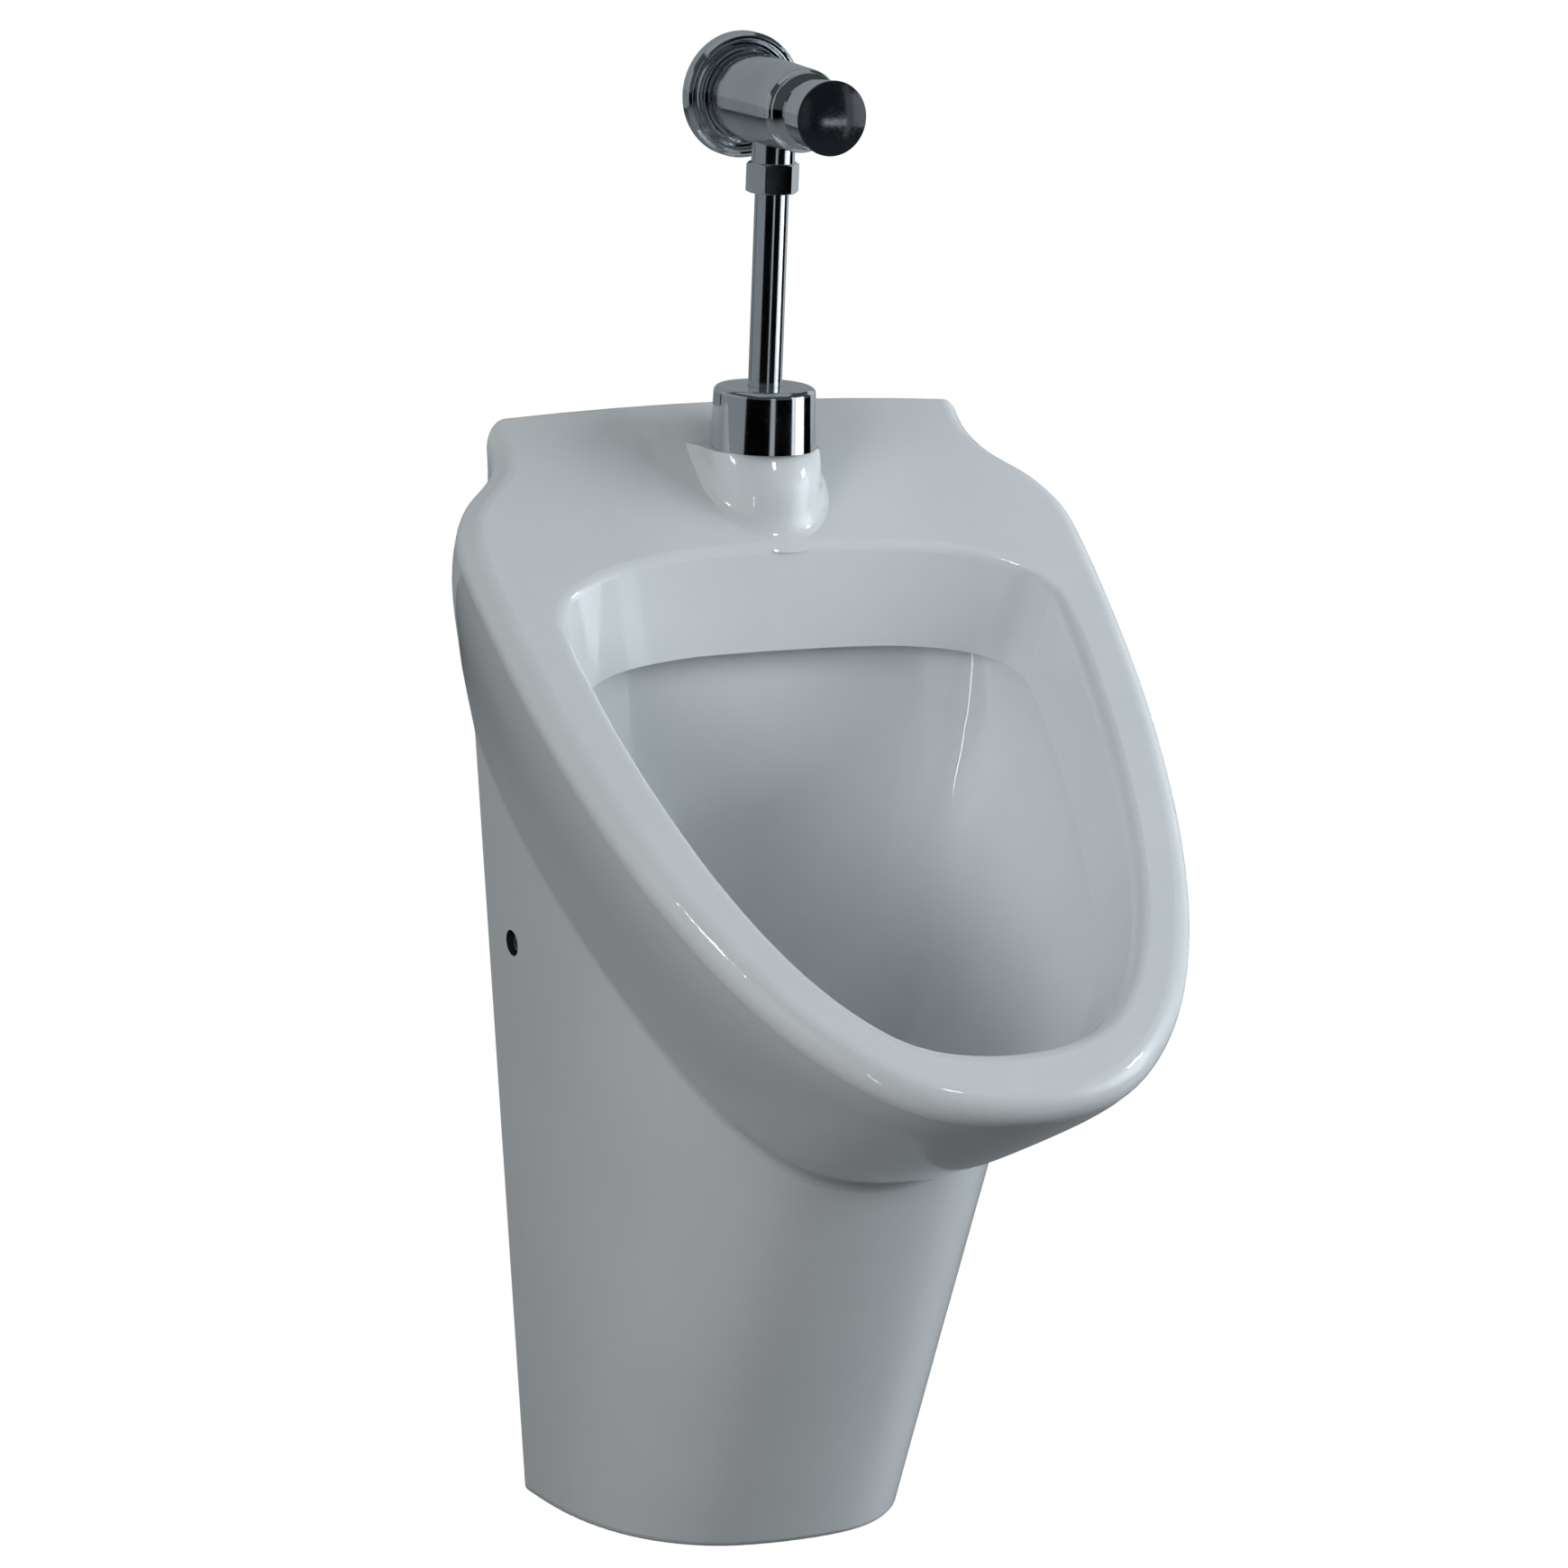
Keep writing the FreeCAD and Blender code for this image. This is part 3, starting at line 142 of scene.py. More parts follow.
glazePattern = {
    "waveScale": 26.0,
    "waveEdge": (0.25, 0.75),
    "peelScale": 420.0,
    "peelHeight": 0.05,         # against waves of height 1
    "cloudScale": 9.0,
    "cloudEdge": (0.3, 0.7),
    "poreScale": 210.0,
    "poreEdge": (0.0, 0.045),
    "poreHeight": 0.25,
    "spotScale": 31.0,          # the pores come in a few spots only
    "spotEdge": (0.62, 0.70),
}


def glazeGroup(pattern):
    # slow waves, orange peel and a few pinholes of a fired glaze
    inputs = {"Wave Scale": pattern["waveScale"], "Peel Scale": pattern["peelScale"]}
    tree, start, end = addGroup("glazeSkin", inputs, ("Tint", "Sheen", "Height"))
    place = objectPlace(tree)
    wave = noiseAt(tree, place, start.outputs["Wave Scale"], detail=2.0)
    peel = noiseAt(tree, place, start.outputs["Peel Scale"], detail=2.0)
    cloud = noiseAt(tree, place, pattern["cloudScale"], detail=4.0, roughness=0.6)
    pores = cellsAt(tree, place, pattern["poreScale"])["Distance"]
    pinholes = remap(tree, pores, pattern["poreEdge"], toLow=-1.0, toHigh=0.0)
    rareSpots = remap(tree, noiseAt(tree, place, pattern["spotScale"]), pattern["spotEdge"])
    pits = mathNode(tree, "MULTIPLY", pinholes, rareSpots)
    height = mathNode(tree, "ADD", wave, mathNode(tree, "MULTIPLY", peel, pattern["peelHeight"]))
    height = mathNode(tree, "ADD", height, mathNode(tree, "MULTIPLY", pits, pattern["poreHeight"]))
    tree.links.new(remap(tree, cloud, pattern["cloudEdge"]), end.inputs["Tint"])
    tree.links.new(remap(tree, wave, pattern["waveEdge"]), end.inputs["Sheen"])
    tree.links.new(height, end.inputs["Height"])
    return tree


polishPattern = {
    "smearScale": 30.0,
    "smearStretch": (1, 1, 0.35),
    "smearTurn": (0.4, 0.2, 0.9),
    "smearEdge": (0.35, 0.70),
    "lineScale": 500.0,
    "lineDepth": 0.04,
    "lines": (
        {"stretch": (1, 0.04, 1), "turn": (0.3, 0.1, 0.5), "edge": (0.66, 0.76)},
        {"stretch": (0.05, 1, 1), "turn": (0.9, 0.7, 0.2), "edge": (0.67, 0.77)},
    ),
}


def polishGroup(pattern):
    # wiped smears and hairlines on plated metal
    inputs = {"Smear Scale": pattern["smearScale"], "Line Scale": pattern["lineScale"]}
    tree, start, end = addGroup("polishMarks", inputs, ("Smear", "Lines", "Height"))
    place = objectPlace(tree)
    wiped = stretched(tree, place, pattern["smearStretch"], pattern["smearTurn"])
    smear = noiseAt(tree, wiped, start.outputs["Smear Scale"], detail=4.0, roughness=0.6)
    hairs = []
    for lines in pattern["lines"]:
        drawn = stretched(tree, place, lines["stretch"], lines["turn"])
        strokes = noiseAt(tree, drawn, start.outputs["Line Scale"], detail=1.0)
        hairs.append(remap(tree, strokes, lines["edge"]))
    hair = mathNode(tree, "MAXIMUM", *hairs)
    cuts = mathNode(tree, "MULTIPLY", hair, pattern["lineDepth"])
    tree.links.new(remap(tree, smear, pattern["smearEdge"]), end.inputs["Smear"])
    tree.links.new(hair, end.inputs["Lines"])
    tree.links.new(mathNode(tree, "SUBTRACT", smear, cuts), end.inputs["Height"])
    return tree


mouldPattern = {
    "grainScale": 900.0,
    "grainEdge": (0.35, 0.65),
    "flowScale": 40.0,
    "flowEdge": (0.3, 0.7),
    "flowHeight": 2.0,          # against a grain of height 1
}


def mouldGroup(pattern):
    # flow clouds and spark texture of a moulding
    inputs = {"Grain Scale": pattern["grainScale"], "Flow Scale": pattern["flowScale"]}
    tree, start, end = addGroup("mouldSkin", inputs, ("Flow", "Grain", "Height"))
    place = objectPlace(tree)
    flow = noiseAt(tree, place, start.outputs["Flow Scale"])
    grain = noiseAt(tree, place, start.outputs["Grain Scale"], roughness=0.65)
    swell = mathNode(tree, "MULTIPLY", flow, pattern["flowHeight"])
    tree.links.new(remap(tree, flow, pattern["flowEdge"]), end.inputs["Flow"])
    tree.links.new(remap(tree, grain, pattern["grainEdge"]), end.inputs["Grain"])
    tree.links.new(mathNode(tree, "ADD", grain, swell), end.inputs["Height"])
    return tree


crevicePattern = {
    "reach": 0.006,
    "rays": 4,
    "shadeEdge": (0.25, 0.95),
    "patchScale": 120.0,
    "patchEdge": (0.35, 0.75),
}


def creviceGroup(pattern):
    # a patchy mask where surfaces meet and the plain shade of the corner, both from how enclosed a point
    # is; where the patchy mask darkens a colour it paints shade, where it pales one it stands for dust
    tree, start, end = addGroup("creviceDustShade", {"Reach": pattern["reach"]}, ("Dust and Shade", "Shade"))
    shade = addNode(tree, "ShaderNodeAmbientOcclusion", {"samples": pattern["rays"]})
    tree.links.new(start.outputs["Reach"], shade.inputs["Distance"])
    patch = noiseAt(tree, objectPlace(tree), pattern["patchScale"], detail=4.0, roughness=0.6)
    corner = remap(tree, shade.outputs["AO"], pattern["shadeEdge"], toLow=1.0, toHigh=0.0)
    dustShade = mathNode(tree, "MULTIPLY", corner, remap(tree, patch, pattern["patchEdge"]))
    tree.links.new(corner, end.inputs["Shade"])
    tree.links.new(dustShade, end.inputs["Dust and Shade"])
    return tree


glazeSkin = glazeGroup(glazePattern)
polishMarks = polishGroup(polishPattern)
mouldSkin = mouldGroup(mouldPattern)
creviceDustShade = creviceGroup(crevicePattern)
print("surface effects made")


# materials

def startMaterial(name):
    material = bpy.data.materials.new(name)
    material.use_nodes = True
    tree = material.node_tree
    tree.nodes.clear()
    shader = addNode(tree, "ShaderNodeBsdfPrincipled")
    output = addNode(tree, "ShaderNodeOutputMaterial")
    tree.links.new(shader.outputs["BSDF"], output.inputs["Surface"])
    return material, tree, shader


def useGroup(tree, group, values=None):
    return addNode(tree, "ShaderNodeGroup", {"node_tree": group}, values).outputs


def mixColours(tree, mask, first, second):
    # a Mix node has a set of sockets for each type, and these are the ones for colours
    mix = addNode(tree, "ShaderNodeMix", {"data_type": "RGBA"})
    maskSocket, firstSocket, secondSocket = (mix.inputs[i] for i in (0, 6, 7))
    for socket, value in ((firstSocket, first), (secondSocket, second)):
        if isinstance(value, tuple):
            socket.default_value = (*value, 1.0)
        else:
            tree.links.new(value, socket)
    tree.links.new(mask, maskSocket)
    return mix.outputs[2]


def between(tree, mask, ends):
    low, high = ends
    return mathNode(tree, "MULTIPLY_ADD", mask, high - low, low)


def addBump(tree, shader, height, distance):
    bump = addNode(tree, "ShaderNodeBump", values={"Strength": 1.0, "Distance": distance})
    tree.links.new(height, bump.inputs["Height"])
    tree.links.new(bump.outputs["Normal"], shader.inputs["Normal"])


chinaFinish = {
    "pale": (0.82, 0.835, 0.84),
    "deep": (0.78, 0.80, 0.81),
    # painted shade: the colour the glaze greys to in its corners
    "corner": (0.30, 0.31, 0.32),
    "cornerDepth": 0.45,
    "cornerReach": 0.03,
    "bare": (0.70, 0.66, 0.60),
    "bareWall": 0.0007,         # thickness of the unglazed skin at the back and the foot
    "bareRoughness": 0.85,
    # painted shadow: near black inside the deep side holes
    "hole": (0.015, 0.015, 0.015),
    "holeSlack": 0.00045,       # from the washer's edge to the wall of its hole
    "roughness": (0.30, 0.36),
    "coatRoughness": 0.025,
    "specular": 0.35,
    "waveHeight": 0.00006,
}


def bareMask(tree, place, finish):
    low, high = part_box("ceramic_body")
    back = mathNode(tree, "GREATER_THAN", place["Y"], high.y - finish["bareWall"])
    foot = mathNode(tree, "LESS_THAN", place["Z"], low.z + finish["bareWall"])
    return mathNode(tree, "MAXIMUM", back, foot)


def sideHoleShadowMask(tree, place, finish):
    # painted shadow of the side holes: all that lies within the hole's radius of the side screws' axis
    low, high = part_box("side_washers")
    across = mathNode(tree, "SUBTRACT", place["Y"], (low.y + high.y) / 2)
    along = mathNode(tree, "SUBTRACT", place["Z"], (low.z + high.z) / 2)
    squares = [mathNode(tree, "POWER", side, 2) for side in (across, along)]
    away = mathNode(tree, "SQRT", mathNode(tree, "ADD", *squares))
    return mathNode(tree, "LESS_THAN", away, (high.z - low.z) / 2 + finish["holeSlack"])


def makeChina(finish):
    material, tree, shader = startMaterial("glazedChina")
    skin = useGroup(tree, glazeSkin)
    split = addNode(tree, "ShaderNodeSeparateXYZ")
    tree.links.new(objectPlace(tree), split.inputs[0])
    bare = bareMask(tree, split.outputs, finish)
    sideHoleShadow = sideHoleShadowMask(tree, split.outputs, finish)
    # painted shade, greying the glaze where its surfaces close in
    corner = useGroup(tree, creviceDustShade, {"Reach": finish["cornerReach"]})["Shade"]
    corner = mathNode(tree, "MULTIPLY", corner, finish["cornerDepth"])
    body = mixColours(tree, skin["Tint"], finish["deep"], finish["pale"])
    body = mixColours(tree, corner, body, finish["corner"])
    body = mixColours(tree, bare, body, finish["bare"])
    # painted shadow: the side holes go near black and lose their coat
    body = mixColours(tree, sideHoleShadow, body, finish["hole"])
    sheen = between(tree, skin["Sheen"], finish["roughness"])
    bareSheen = mathNode(tree, "MULTIPLY", bare, finish["bareRoughness"])
    glazed = mathNode(tree, "SUBTRACT", 1.0, mathNode(tree, "MAXIMUM", bare, sideHoleShadow))
    tree.links.new(body, shader.inputs["Base Color"])
    tree.links.new(mathNode(tree, "MAXIMUM", sheen, bareSheen), shader.inputs["Roughness"])
    tree.links.new(glazed, shader.inputs["Coat Weight"])
    shader.inputs["Coat Roughness"].default_value = finish["coatRoughness"]
    shader.inputs["Specular IOR Level"].default_value = finish["specular"]
    addBump(tree, shader, skin["Height"], finish["waveHeight"])
    return material


chromeFinish = {
    "bright": (0.74, 0.765, 0.79),
    "dull": (0.66, 0.69, 0.72),
    "roughness": (0.07, 0.15),
    "dustShade": 0.08,
    "smearScale": 30.0,
    "lineScale": 500.0,
    "height": 0.000002,
}
steelFinish = {
    "bright": (0.66, 0.66, 0.65),
    "dull": (0.52, 0.52, 0.51),
    "roughness": (0.16, 0.32),
    "dustShade": 0.30,
    "smearScale": 70.0,
    "lineScale": 900.0,
    "height": 0.00002,
}
screwFinish = {
    "bright": (0.72, 0.72, 0.71),
    "dull": (0.56, 0.56, 0.55),
    "roughness": (0.22, 0.36),
    "dustShade": 0.20,
    "smearScale": 70.0,
    "lineScale": 900.0,
    "height": 0.00002,
}
brassFinish = {
    "bright": (0.75, 0.56, 0.26),
    "dull": (0.60, 0.43, 0.19),
    "roughness": (0.20, 0.36),
    "dustShade": 0.30,
    "smearScale": 80.0,
    "lineScale": 900.0,
    "height": 0.00002,
}
# the dark colour painted into the metals' crevices as shade, and how much rougher they get there
metalDustShade = {"colour": (0.10, 0.10, 0.095), "roughness": 0.3}


def makeMetal(name, finish):
    material, tree, shader = startMaterial(name)
    scales = {"Smear Scale": finish["smearScale"], "Line Scale": finish["lineScale"]}
    marks = useGroup(tree, polishMarks, scales)
    dustShade = useGroup(tree, creviceDustShade)["Dust and Shade"]
    colour = mixColours(tree, marks["Smear"], finish["bright"], finish["dull"])
    # painted shade: the metal darkens in patches where surfaces meet, and those patches are rougher
    grimeShade = mathNode(tree, "MULTIPLY", dustShade, finish["dustShade"])
    worn = mathNode(tree, "MAXIMUM", marks["Smear"], marks["Lines"])
    rough = between(tree, worn, finish["roughness"])
    dusty = mathNode(tree, "MULTIPLY", grimeShade, metalDustShade["roughness"])
    tree.links.new(mixColours(tree, grimeShade, colour, metalDustShade["colour"]), shader.inputs["Base Color"])
    tree.links.new(mathNode(tree, "ADD", rough, dusty), shader.inputs["Roughness"])
    shader.inputs["Metallic"].default_value = 1.0
    addBump(tree, shader, marks["Height"], finish["height"])
    return material


zincFinish = {
    "light": (0.62, 0.64, 0.66),
    "dark": (0.44, 0.46, 0.48),
    "spangle": 140.0,
    "roughness": (0.30, 0.55),
    "roughEdge": (0.0, 1.4),
    "smearScale": 60.0,
    "lineScale": 700.0,
    "height": 0.00003,
}


def makeZinc(finish):
    material, tree, shader = startMaterial("zincSheet")
    split = addNode(tree, "ShaderNodeSeparateColor")
    spangle = cellsAt(tree, objectPlace(tree), finish["spangle"])
    tree.links.new(spangle["Color"], split.inputs[0])
    flake = split.outputs["Red"]
    scales = {"Smear Scale": finish["smearScale"], "Line Scale": finish["lineScale"]}
    marks = useGroup(tree, polishMarks, scales)
    worn = mathNode(tree, "ADD", flake, marks["Lines"])
    rough = remap(tree, worn, finish["roughEdge"], *finish["roughness"])
    tree.links.new(mixColours(tree, flake, finish["dark"], finish["light"]), shader.inputs["Base Color"])
    tree.links.new(rough, shader.inputs["Roughness"])
    shader.inputs["Metallic"].default_value = 1.0
    addBump(tree, shader, mathNode(tree, "ADD", flake, marks["Height"]), finish["height"])
    return material


blackFinish = {
    "deep": (0.006, 0.007, 0.010),
    "tint": (0.012, 0.016, 0.026),
    "roughness": (0.10, 0.22),
    "dustShade": 0.35,
    "dustShadeColour": (0.05, 0.05, 0.05),
    "dustShadeMask": "Dust and Shade",
    "reach": 0.004,
    "grainScale": 700.0,
    "height": 0.000004,
}
whiteFinish = {
    "deep": (0.70, 0.70, 0.67),
    "tint": (0.78, 0.78, 0.76),
    "roughness": (0.34, 0.48),
    "dustShade": 0.35,
    "dustShadeColour": (0.42, 0.40, 0.36),
    "dustShadeMask": "Dust and Shade",
    "reach": 0.004,
    "grainScale": 1100.0,
    "height": 0.00001,
}
# the sunk washers are dark grey and darken to near black all over: painted shade of the deep holes they sit
# in
shadedWasherFinish = {
    "deep": (0.10, 0.10, 0.10),
    "tint": (0.16, 0.16, 0.155),
    "roughness": (0.40, 0.55),
    "dustShade": 1.0,
    "dustShadeColour": (0.02, 0.02, 0.02),
    "dustShadeMask": "Shade",        # dark all over, not in patches
    "reach": 0.02,
    "grainScale": 1100.0,
    "height": 0.00001,
}
rubberFinish = {
    "deep": (0.018, 0.018, 0.018),
    "tint": (0.045, 0.045, 0.044),
    "roughness": (0.62, 0.85),
    "dustShade": 0.35,
    "dustShadeColour": (0.12, 0.12, 0.11),
    "dustShadeMask": "Dust and Shade",
    "reach": 0.004,
    "grainScale": 1400.0,
    "height": 0.00003,
}


def makeMoulding(name, finish):
    material, tree, shader = startMaterial(name)
    skin = useGroup(tree, mouldSkin, {"Grain Scale": finish["grainScale"]})
    dustShade = useGroup(tree, creviceDustShade, {"Reach": finish["reach"]})[finish["dustShadeMask"]]
    colour = mixColours(tree, skin["Flow"], finish["deep"], finish["tint"])
    # where surfaces meet the colour moves to the dust colour: on the white moulding and the washers this
    # darkens it as painted shade, on the black moulding and the rubber it pales it like dust
    grimeShade = mathNode(tree, "MULTIPLY", dustShade, finish["dustShade"])
    rough = between(tree, skin["Grain"], finish["roughness"])
    tree.links.new(mixColours(tree, grimeShade, colour, finish["dustShadeColour"]), shader.inputs["Base Color"])
    tree.links.new(rough, shader.inputs["Roughness"])
    addBump(tree, shader, skin["Height"], finish["height"])
    return material


slotMaterials = {
    "china": makeChina(chinaFinish),
    "chrome": makeMetal("platedChrome", chromeFinish),
    "polished_steel": makeMetal("stainlessSteel", steelFinish),
    "galvanised_steel": makeZinc(zincFinish),
    "brass": makeMetal("turnedBrass", brassFinish),
    "black_plastic": makeMoulding("blackGloss", blackFinish),
    "white_plastic": makeMoulding("whiteSatin", whiteFinish),
    "rubber": makeMoulding("darkRubber", rubberFinish),
}
# the screws deep in the side holes have a finish of their own, and the washers there are painted dark as
# the shade of the holes
pieceMaterials = {
    "side_screws": makeMetal("sunkScrew", screwFinish),
    "side_washers": makeMoulding("shadedSunkWasher", shadedWasherFinish),
}
for piece in frame["record"]["subparts"]:
    node = cadNodes[piece["node"]]
    if not node.material_slots:
        node.data.materials.append(None)
    finish = pieceMaterials.get(piece["node"], slotMaterials[piece["material_slot"]])
    for nodeSlot in node.material_slots:
        nodeSlot.material = finish


# screw threads on the supply spigot and on the waste tail, and the spring behind the button

supplyThread = {
    "sides": 4,                 # corners of the ridge's section
    "rise": 0.00024,            # half its height and half its width
    "run": 0.00076,
    "radius": 0.01040,
    "pitch": 0.001814,
    "turns": 13,
    "place": (0.0, 0.0045, 0.243),
    "axis": "Y",
    "slot": "chrome",
}
tailThread = {
    "sides": 4,
    "rise": 0.00032,
    "run": 0.00097,
    "radius": 0.02342,
    "pitch": 0.002309,
    "turns": 3,
    "place": (0.0, -0.10219, -0.3501),
    "axis": "Z",
    "slot": "chrome",
}
springWire = 0.0008             # radius of the wire
springTurns = 7
springLow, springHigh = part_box("return_spring")
springLength = springHigh.y - springLow.y
springMiddle = (springLow + springHigh) / 2
returnSpring = {
    "sides": 14,
    "rise": springWire,
    "run": springWire,
    "radius": (springHigh.x - springLow.x) / 2 - springWire,
    "pitch": (springLength - 2 * springWire) / springTurns,
    "turns": springTurns,
    "place": (springMiddle.x, springLow.y + springWire, springMiddle.z),
    "axis": "Y",
    "slot": "polished_steel",
}
turnSteps = 56                  # faces round one turn of a coil
quarterTurn = math.pi / 2
smoothAngle = math.radians(35)


def makeCoil(name, coil):
    bpy.ops.object.select_all(action="DESELECT")
    bpy.ops.mesh.primitive_circle_add(
        vertices=coil["sides"], radius=coil["rise"], rotation=(quarterTurn, 0, 0)
    )
    piece = bpy.context.object
    piece.name = name
    bpy.ops.object.transform_apply(location=False, rotation=True, scale=False)
    bpy.ops.object.mode_set(mode="EDIT")
    bpy.ops.mesh.select_all(action="SELECT")
    # stretch the section along the axis and move it out to its radius
    bpy.ops.transform.resize(value=(1, 1, coil["run"] / coil["rise"]), center_override=(0, 0, 0))
    bpy.ops.transform.translate(value=(coil["radius"], 0, 0))
    bpy.ops.object.mode_set(mode="OBJECT")
    winding = piece.modifiers.new("winding", "SCREW")
    winding.screw_offset = coil["pitch"]
    winding.iterations = coil["turns"]
    winding.steps = turnSteps
    winding.render_steps = turnSteps
    winding.use_merge_vertices = False
    bpy.ops.object.modifier_apply(modifier="winding")
    bpy.ops.object.mode_set(mode="EDIT")
    bpy.ops.mesh.select_all(action="SELECT")
    bpy.ops.mesh.fill_holes(sides=coil["sides"])
    bpy.ops.mesh.select_all(action="SELECT")
    bpy.ops.mesh.normals_make_consistent(inside=False)
    if coil["axis"] == "Y":
        bpy.ops.transform.rotate(value=quarterTurn, orient_axis="X", center_override=(0, 0, 0))
    bpy.ops.transform.translate(value=coil["place"])
    bpy.ops.object.mode_set(mode="OBJECT")
    bpy.ops.object.shade_smooth_by_angle(angle=smoothAngle)
    piece.data.materials.append(slotMaterials[coil["slot"]])
    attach(piece, "urinal")
    print(name, "made with", len(piece.data.polygons), "faces")
    return piece


makeCoil("supplyThread", supplyThread)
makeCoil("tailThread", tailThread)
spring = makeCoil("returnSpring", returnSpring)
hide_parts("return_spring")
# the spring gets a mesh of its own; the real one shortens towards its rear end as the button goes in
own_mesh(spring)


# floor, backdrop and studio light

lightColour = (0.868, 0.949, 1.0)
leftColour = (0.95, 0.98, 1.0)  # the light from the left is less blue
studioFloor = {
    "below": 0.345,
    "size": 60.0,
    "shade": (0.05, 0.05, 0.05),
    "roughness": 0.9,
    "mirrorGlow": 0.19,         # how pale the floor looks in reflections
    "glowReach": (1.4, 4.4),    # where that paleness starts and ends to fade
}


def switchShader(tree, ray, usual, other):
    # the other shader shows to this kind of ray alone
    mix = addNode(tree, "ShaderNodeMixShader")
    tree.links.new(addNode(tree, "ShaderNodeLightPath").outputs[ray], mix.inputs[0])
    tree.links.new(usual, mix.inputs[1])
    tree.links.new(other, mix.inputs[2])
    return mix.outputs[0]


def makeFloor(floor):
    bpy.ops.object.select_all(action="DESELECT")
    height = cadBox[0].z - floor["below"]
    bpy.ops.mesh.primitive_plane_add(size=floor["size"], location=(0, 0, height))
    plane = bpy.context.object
    plane.name = "studioFloor"
    material, tree, shader = startMaterial("paleFloor")
    shader.inputs["Base Color"].default_value = (*floor["shade"], 1.0)
    shader.inputs["Roughness"].default_value = floor["roughness"]
    white = addNode(tree, "ShaderNodeEmission", values={"Strength": 1.0})
    sheen = addNode(tree, "ShaderNodeEmission", values={"Color": (*lightColour, 1.0)})
    away = addNode(tree, "ShaderNodeVectorMath", {"operation": "LENGTH"})
    tree.links.new(objectPlace(tree), away.inputs[0])
    fade = remap(tree, away.outputs["Value"], floor["glowReach"], toLow=floor["mirrorGlow"], toHigh=0.0)
    tree.links.new(fade, sheen.inputs["Strength"])
    # pale in reflections, white to the camera, dark to the soft light
    face = switchShader(tree, "Is Glossy Ray", shader.outputs[0], sheen.outputs[0])
    face = switchShader(tree, "Is Camera Ray", face, white.outputs[0])
    tree.links.new(face, tree.nodes["Material Output"].inputs["Surface"])
    plane.data.materials.append(material)


studioWorld = {"shade": (0.055, 0.062, 0.066), "strength": 1.0}


def makeWorld(world):
    sky = bpy.data.worlds.new("studioWorld")
    sky.use_nodes = True
    tree = sky.node_tree
    tree.nodes.clear()
    dim = {"Color": (*world["shade"], 1), "Strength": world["strength"]}
    room = addNode(tree, "ShaderNodeBackground", values=dim)
    white = addNode(tree, "ShaderNodeBackground", values={"Color": (1, 1, 1, 1)})
    output = addNode(tree, "ShaderNodeOutputWorld")
    face = switchShader(tree, "Is Camera Ray", room.outputs[0], white.outputs[0])
    tree.links.new(face, output.inputs["Surface"])
    bpy.context.scene.world = sky


# each light: the way it comes from (degrees round from the front, degrees up), its distance, size and power
softLights = {
    "sideLow": {"round": 90, "up": 0, "far": 2.4, "size": (0.8, 0.8), "power": 13.0},
    "rightLow": {"round": 75, "up": 0, "far": 2.4, "size": (0.8, 0.8), "power": 13.0},
    "rightPanel": {"round": 75, "up": 15, "far": 2.4, "size": (0.8, 0.8), "power": 14.0},
    "rightFront": {"round": 60, "up": 15, "far": 2.4, "size": (0.8, 0.8), "power": 18.0},
    "rightHigh": {"round": 80, "up": 35, "far": 2.4, "size": (0.8, 0.8), "power": 3.3},
    "frontUpper": {"round": 0, "up": 15, "far": 2.4, "size": (0.8, 0.8), "power": 2.6},
    "above": {"round": 0, "up": 88, "far": 2.4, "size": (0.8, 0.8), "power": 1.3},
    "backPanel": {"round": 178, "up": 25, "far": 2.6, "size": (1.2, 1.2), "power": 20.0},
    "backLow": {"round": 182, "up": -8, "far": 2.6, "size": (1.0, 0.7), "power": 10.0},
}
leftLights = {
    "leftFront": {"round": -45, "up": 10, "far": 2.4, "size": (0.8, 0.8), "power": 6.4},
    "leftPanel": {"round": -60, "up": 15, "far": 2.4, "size": (0.8, 0.8), "power": 18.0},
    "leftHigh": {"round": -90, "up": 60, "far": 2.4, "size": (0.8, 0.8), "power": 2.4},
}
# panels that only show as reflections in the glaze and the chrome
mirrorPanels = {
    "leftWall": {"round": -105, "up": 5, "far": 3.0, "size": (4.4, 3.0), "power": 11.0},
    "backWall": {"round": 178, "up": 20, "far": 3.0, "size": (5.0, 4.0), "power": 15.0},
    "ceiling": {"round": 0, "up": 89, "far": 2.4, "size": (3.0, 3.0), "power": 8.0},
    "frontStrip": {"round": -7, "up": 0, "far": 3.6, "size": (0.65, 2.6), "power": 2.2},
    "rightStrip": {"round": 44, "up": 5, "far": 2.4, "size": (0.30, 2.0), "power": 2.2},
    "pipeGlow": {"round": 62, "up": 6, "far": 2.4, "size": (1.1, 1.2), "power": 8.0},
    "rightWall": {"round": 118, "up": 5, "far": 2.6, "size": (1.5, 2.4), "power": 6.0},
}
# small lights that show as reflections on one piece alone
glazeSparks = {
    "spark": {"round": 20, "up": 45, "far": 2.4, "size": (0.16, 0.16), "power": 2.4},
    "leftSpark": {"round": -65, "up": 32, "far": 2.4, "size": (0.28, 0.28), "power": 4.0},
    "rightSpark": {"round": 65, "up": 25, "far": 2.4, "size": (0.28, 0.28), "power": 4.0},
    "lowSpark": {"round": -40, "up": -10, "far": 2.4, "size": (0.05, 0.5), "power": 1.1},
}
buttonGlints = {
    "buttonGlint": {"round": 27, "up": -4, "far": 2.4, "size": (1.2, 0.25), "power": 5.0},
}
lightAim = Vector((0.0, -0.15, 0.0))


def wayFrom(around, above):
    level = math.cos(above)
    return Vector((math.sin(around) * level, -math.cos(around) * level, math.sin(above)))


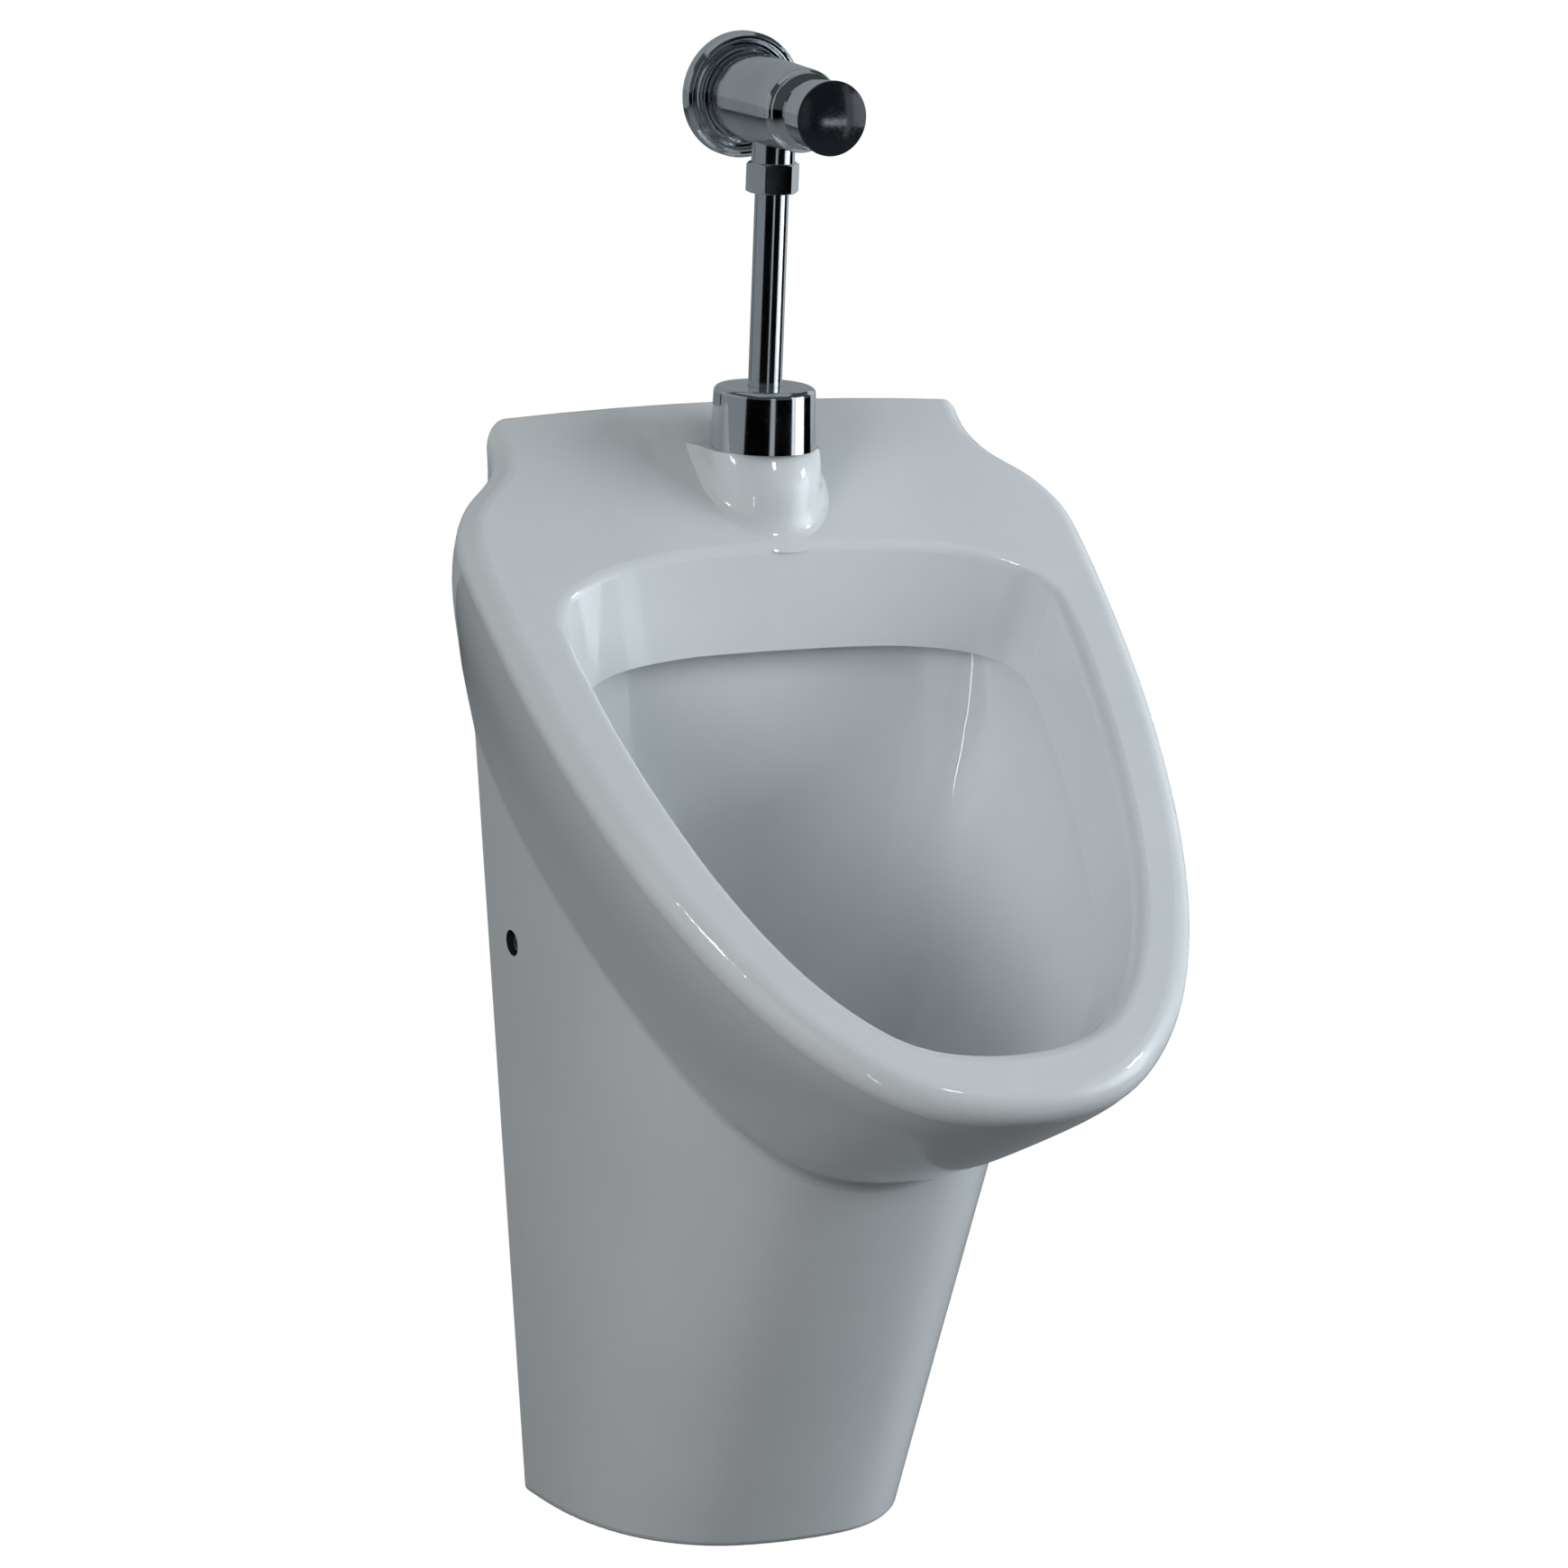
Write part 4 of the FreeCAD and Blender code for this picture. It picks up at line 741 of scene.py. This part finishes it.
def makeLights(lights, colour, onlyMirror, onlyOn=None):
    if onlyOn:
        litPieces = bpy.data.collections.new(onlyOn + "_lit")
        litPieces.objects.link(cadNodes[onlyOn])
    for name, light in lights.items():
        way = wayFrom(math.radians(light["round"]), math.radians(light["up"]))
        bpy.ops.object.light_add(type="AREA", location=lightAim + way * light["far"])
        lamp = bpy.context.object
        lamp.name = name
        lamp.data.shape = "RECTANGLE"
        lamp.data.size, lamp.data.size_y = light["size"]
        lamp.data.energy = light["power"]
        lamp.data.color = colour
        lamp.rotation_mode = "QUATERNION"
        lamp.rotation_quaternion = way.to_track_quat("Z", "Y")
        lamp.visible_camera = False
        lamp.visible_diffuse = not onlyMirror
        lamp.visible_glossy = onlyMirror
        if onlyOn:
            lamp.light_linking.receiver_collection = litPieces


photoCamera = {
    "place": (-1.629853, -3.267168, 0.670707),
    "yaw": -27.109,
    "pitch": 12.385,
    "roll": 2.13,
    "lens": 158.364,
    "sensor": 36.0,
    "seesTo": 200.0,
}


def makeCamera(view):
    yaw, pitch, roll = (math.radians(view[key]) for key in ("yaw", "pitch", "roll"))
    back = wayFrom(yaw, pitch)
    right = (-back).cross(Vector((0, 0, 1))).normalized()
    up = right.cross(-back)
    across = right * math.cos(roll) + up * math.sin(roll)
    above = up * math.cos(roll) - right * math.sin(roll)
    turned = Matrix((across, above, back)).transposed().to_4x4()
    bpy.ops.object.camera_add(location=view["place"])
    camera = bpy.context.object
    camera.name = "photoCamera"
    camera.matrix_world = Matrix.Translation(view["place"]) @ turned
    camera.data.lens = view["lens"]
    camera.data.sensor_width = view["sensor"]
    camera.data.clip_end = view["seesTo"]
    bpy.context.scene.camera = camera


makeFloor(studioFloor)
makeWorld(studioWorld)
makeLights(softLights, lightColour, False)
makeLights(leftLights, leftColour, False)
makeLights(mirrorPanels, lightColour, True)
makeLights(glazeSparks, lightColour, True, "ceramic_body")
makeLights(buttonGlints, lightColour, True, "push_button")
makeCamera(photoCamera)
bpy.context.scene.view_settings.view_transform = "Standard"
lightSets = (softLights, leftLights, mirrorPanels, glazeSparks, buttonGlints)
print("studio ready with", sum(len(lights) for lights in lightSets), "lights")
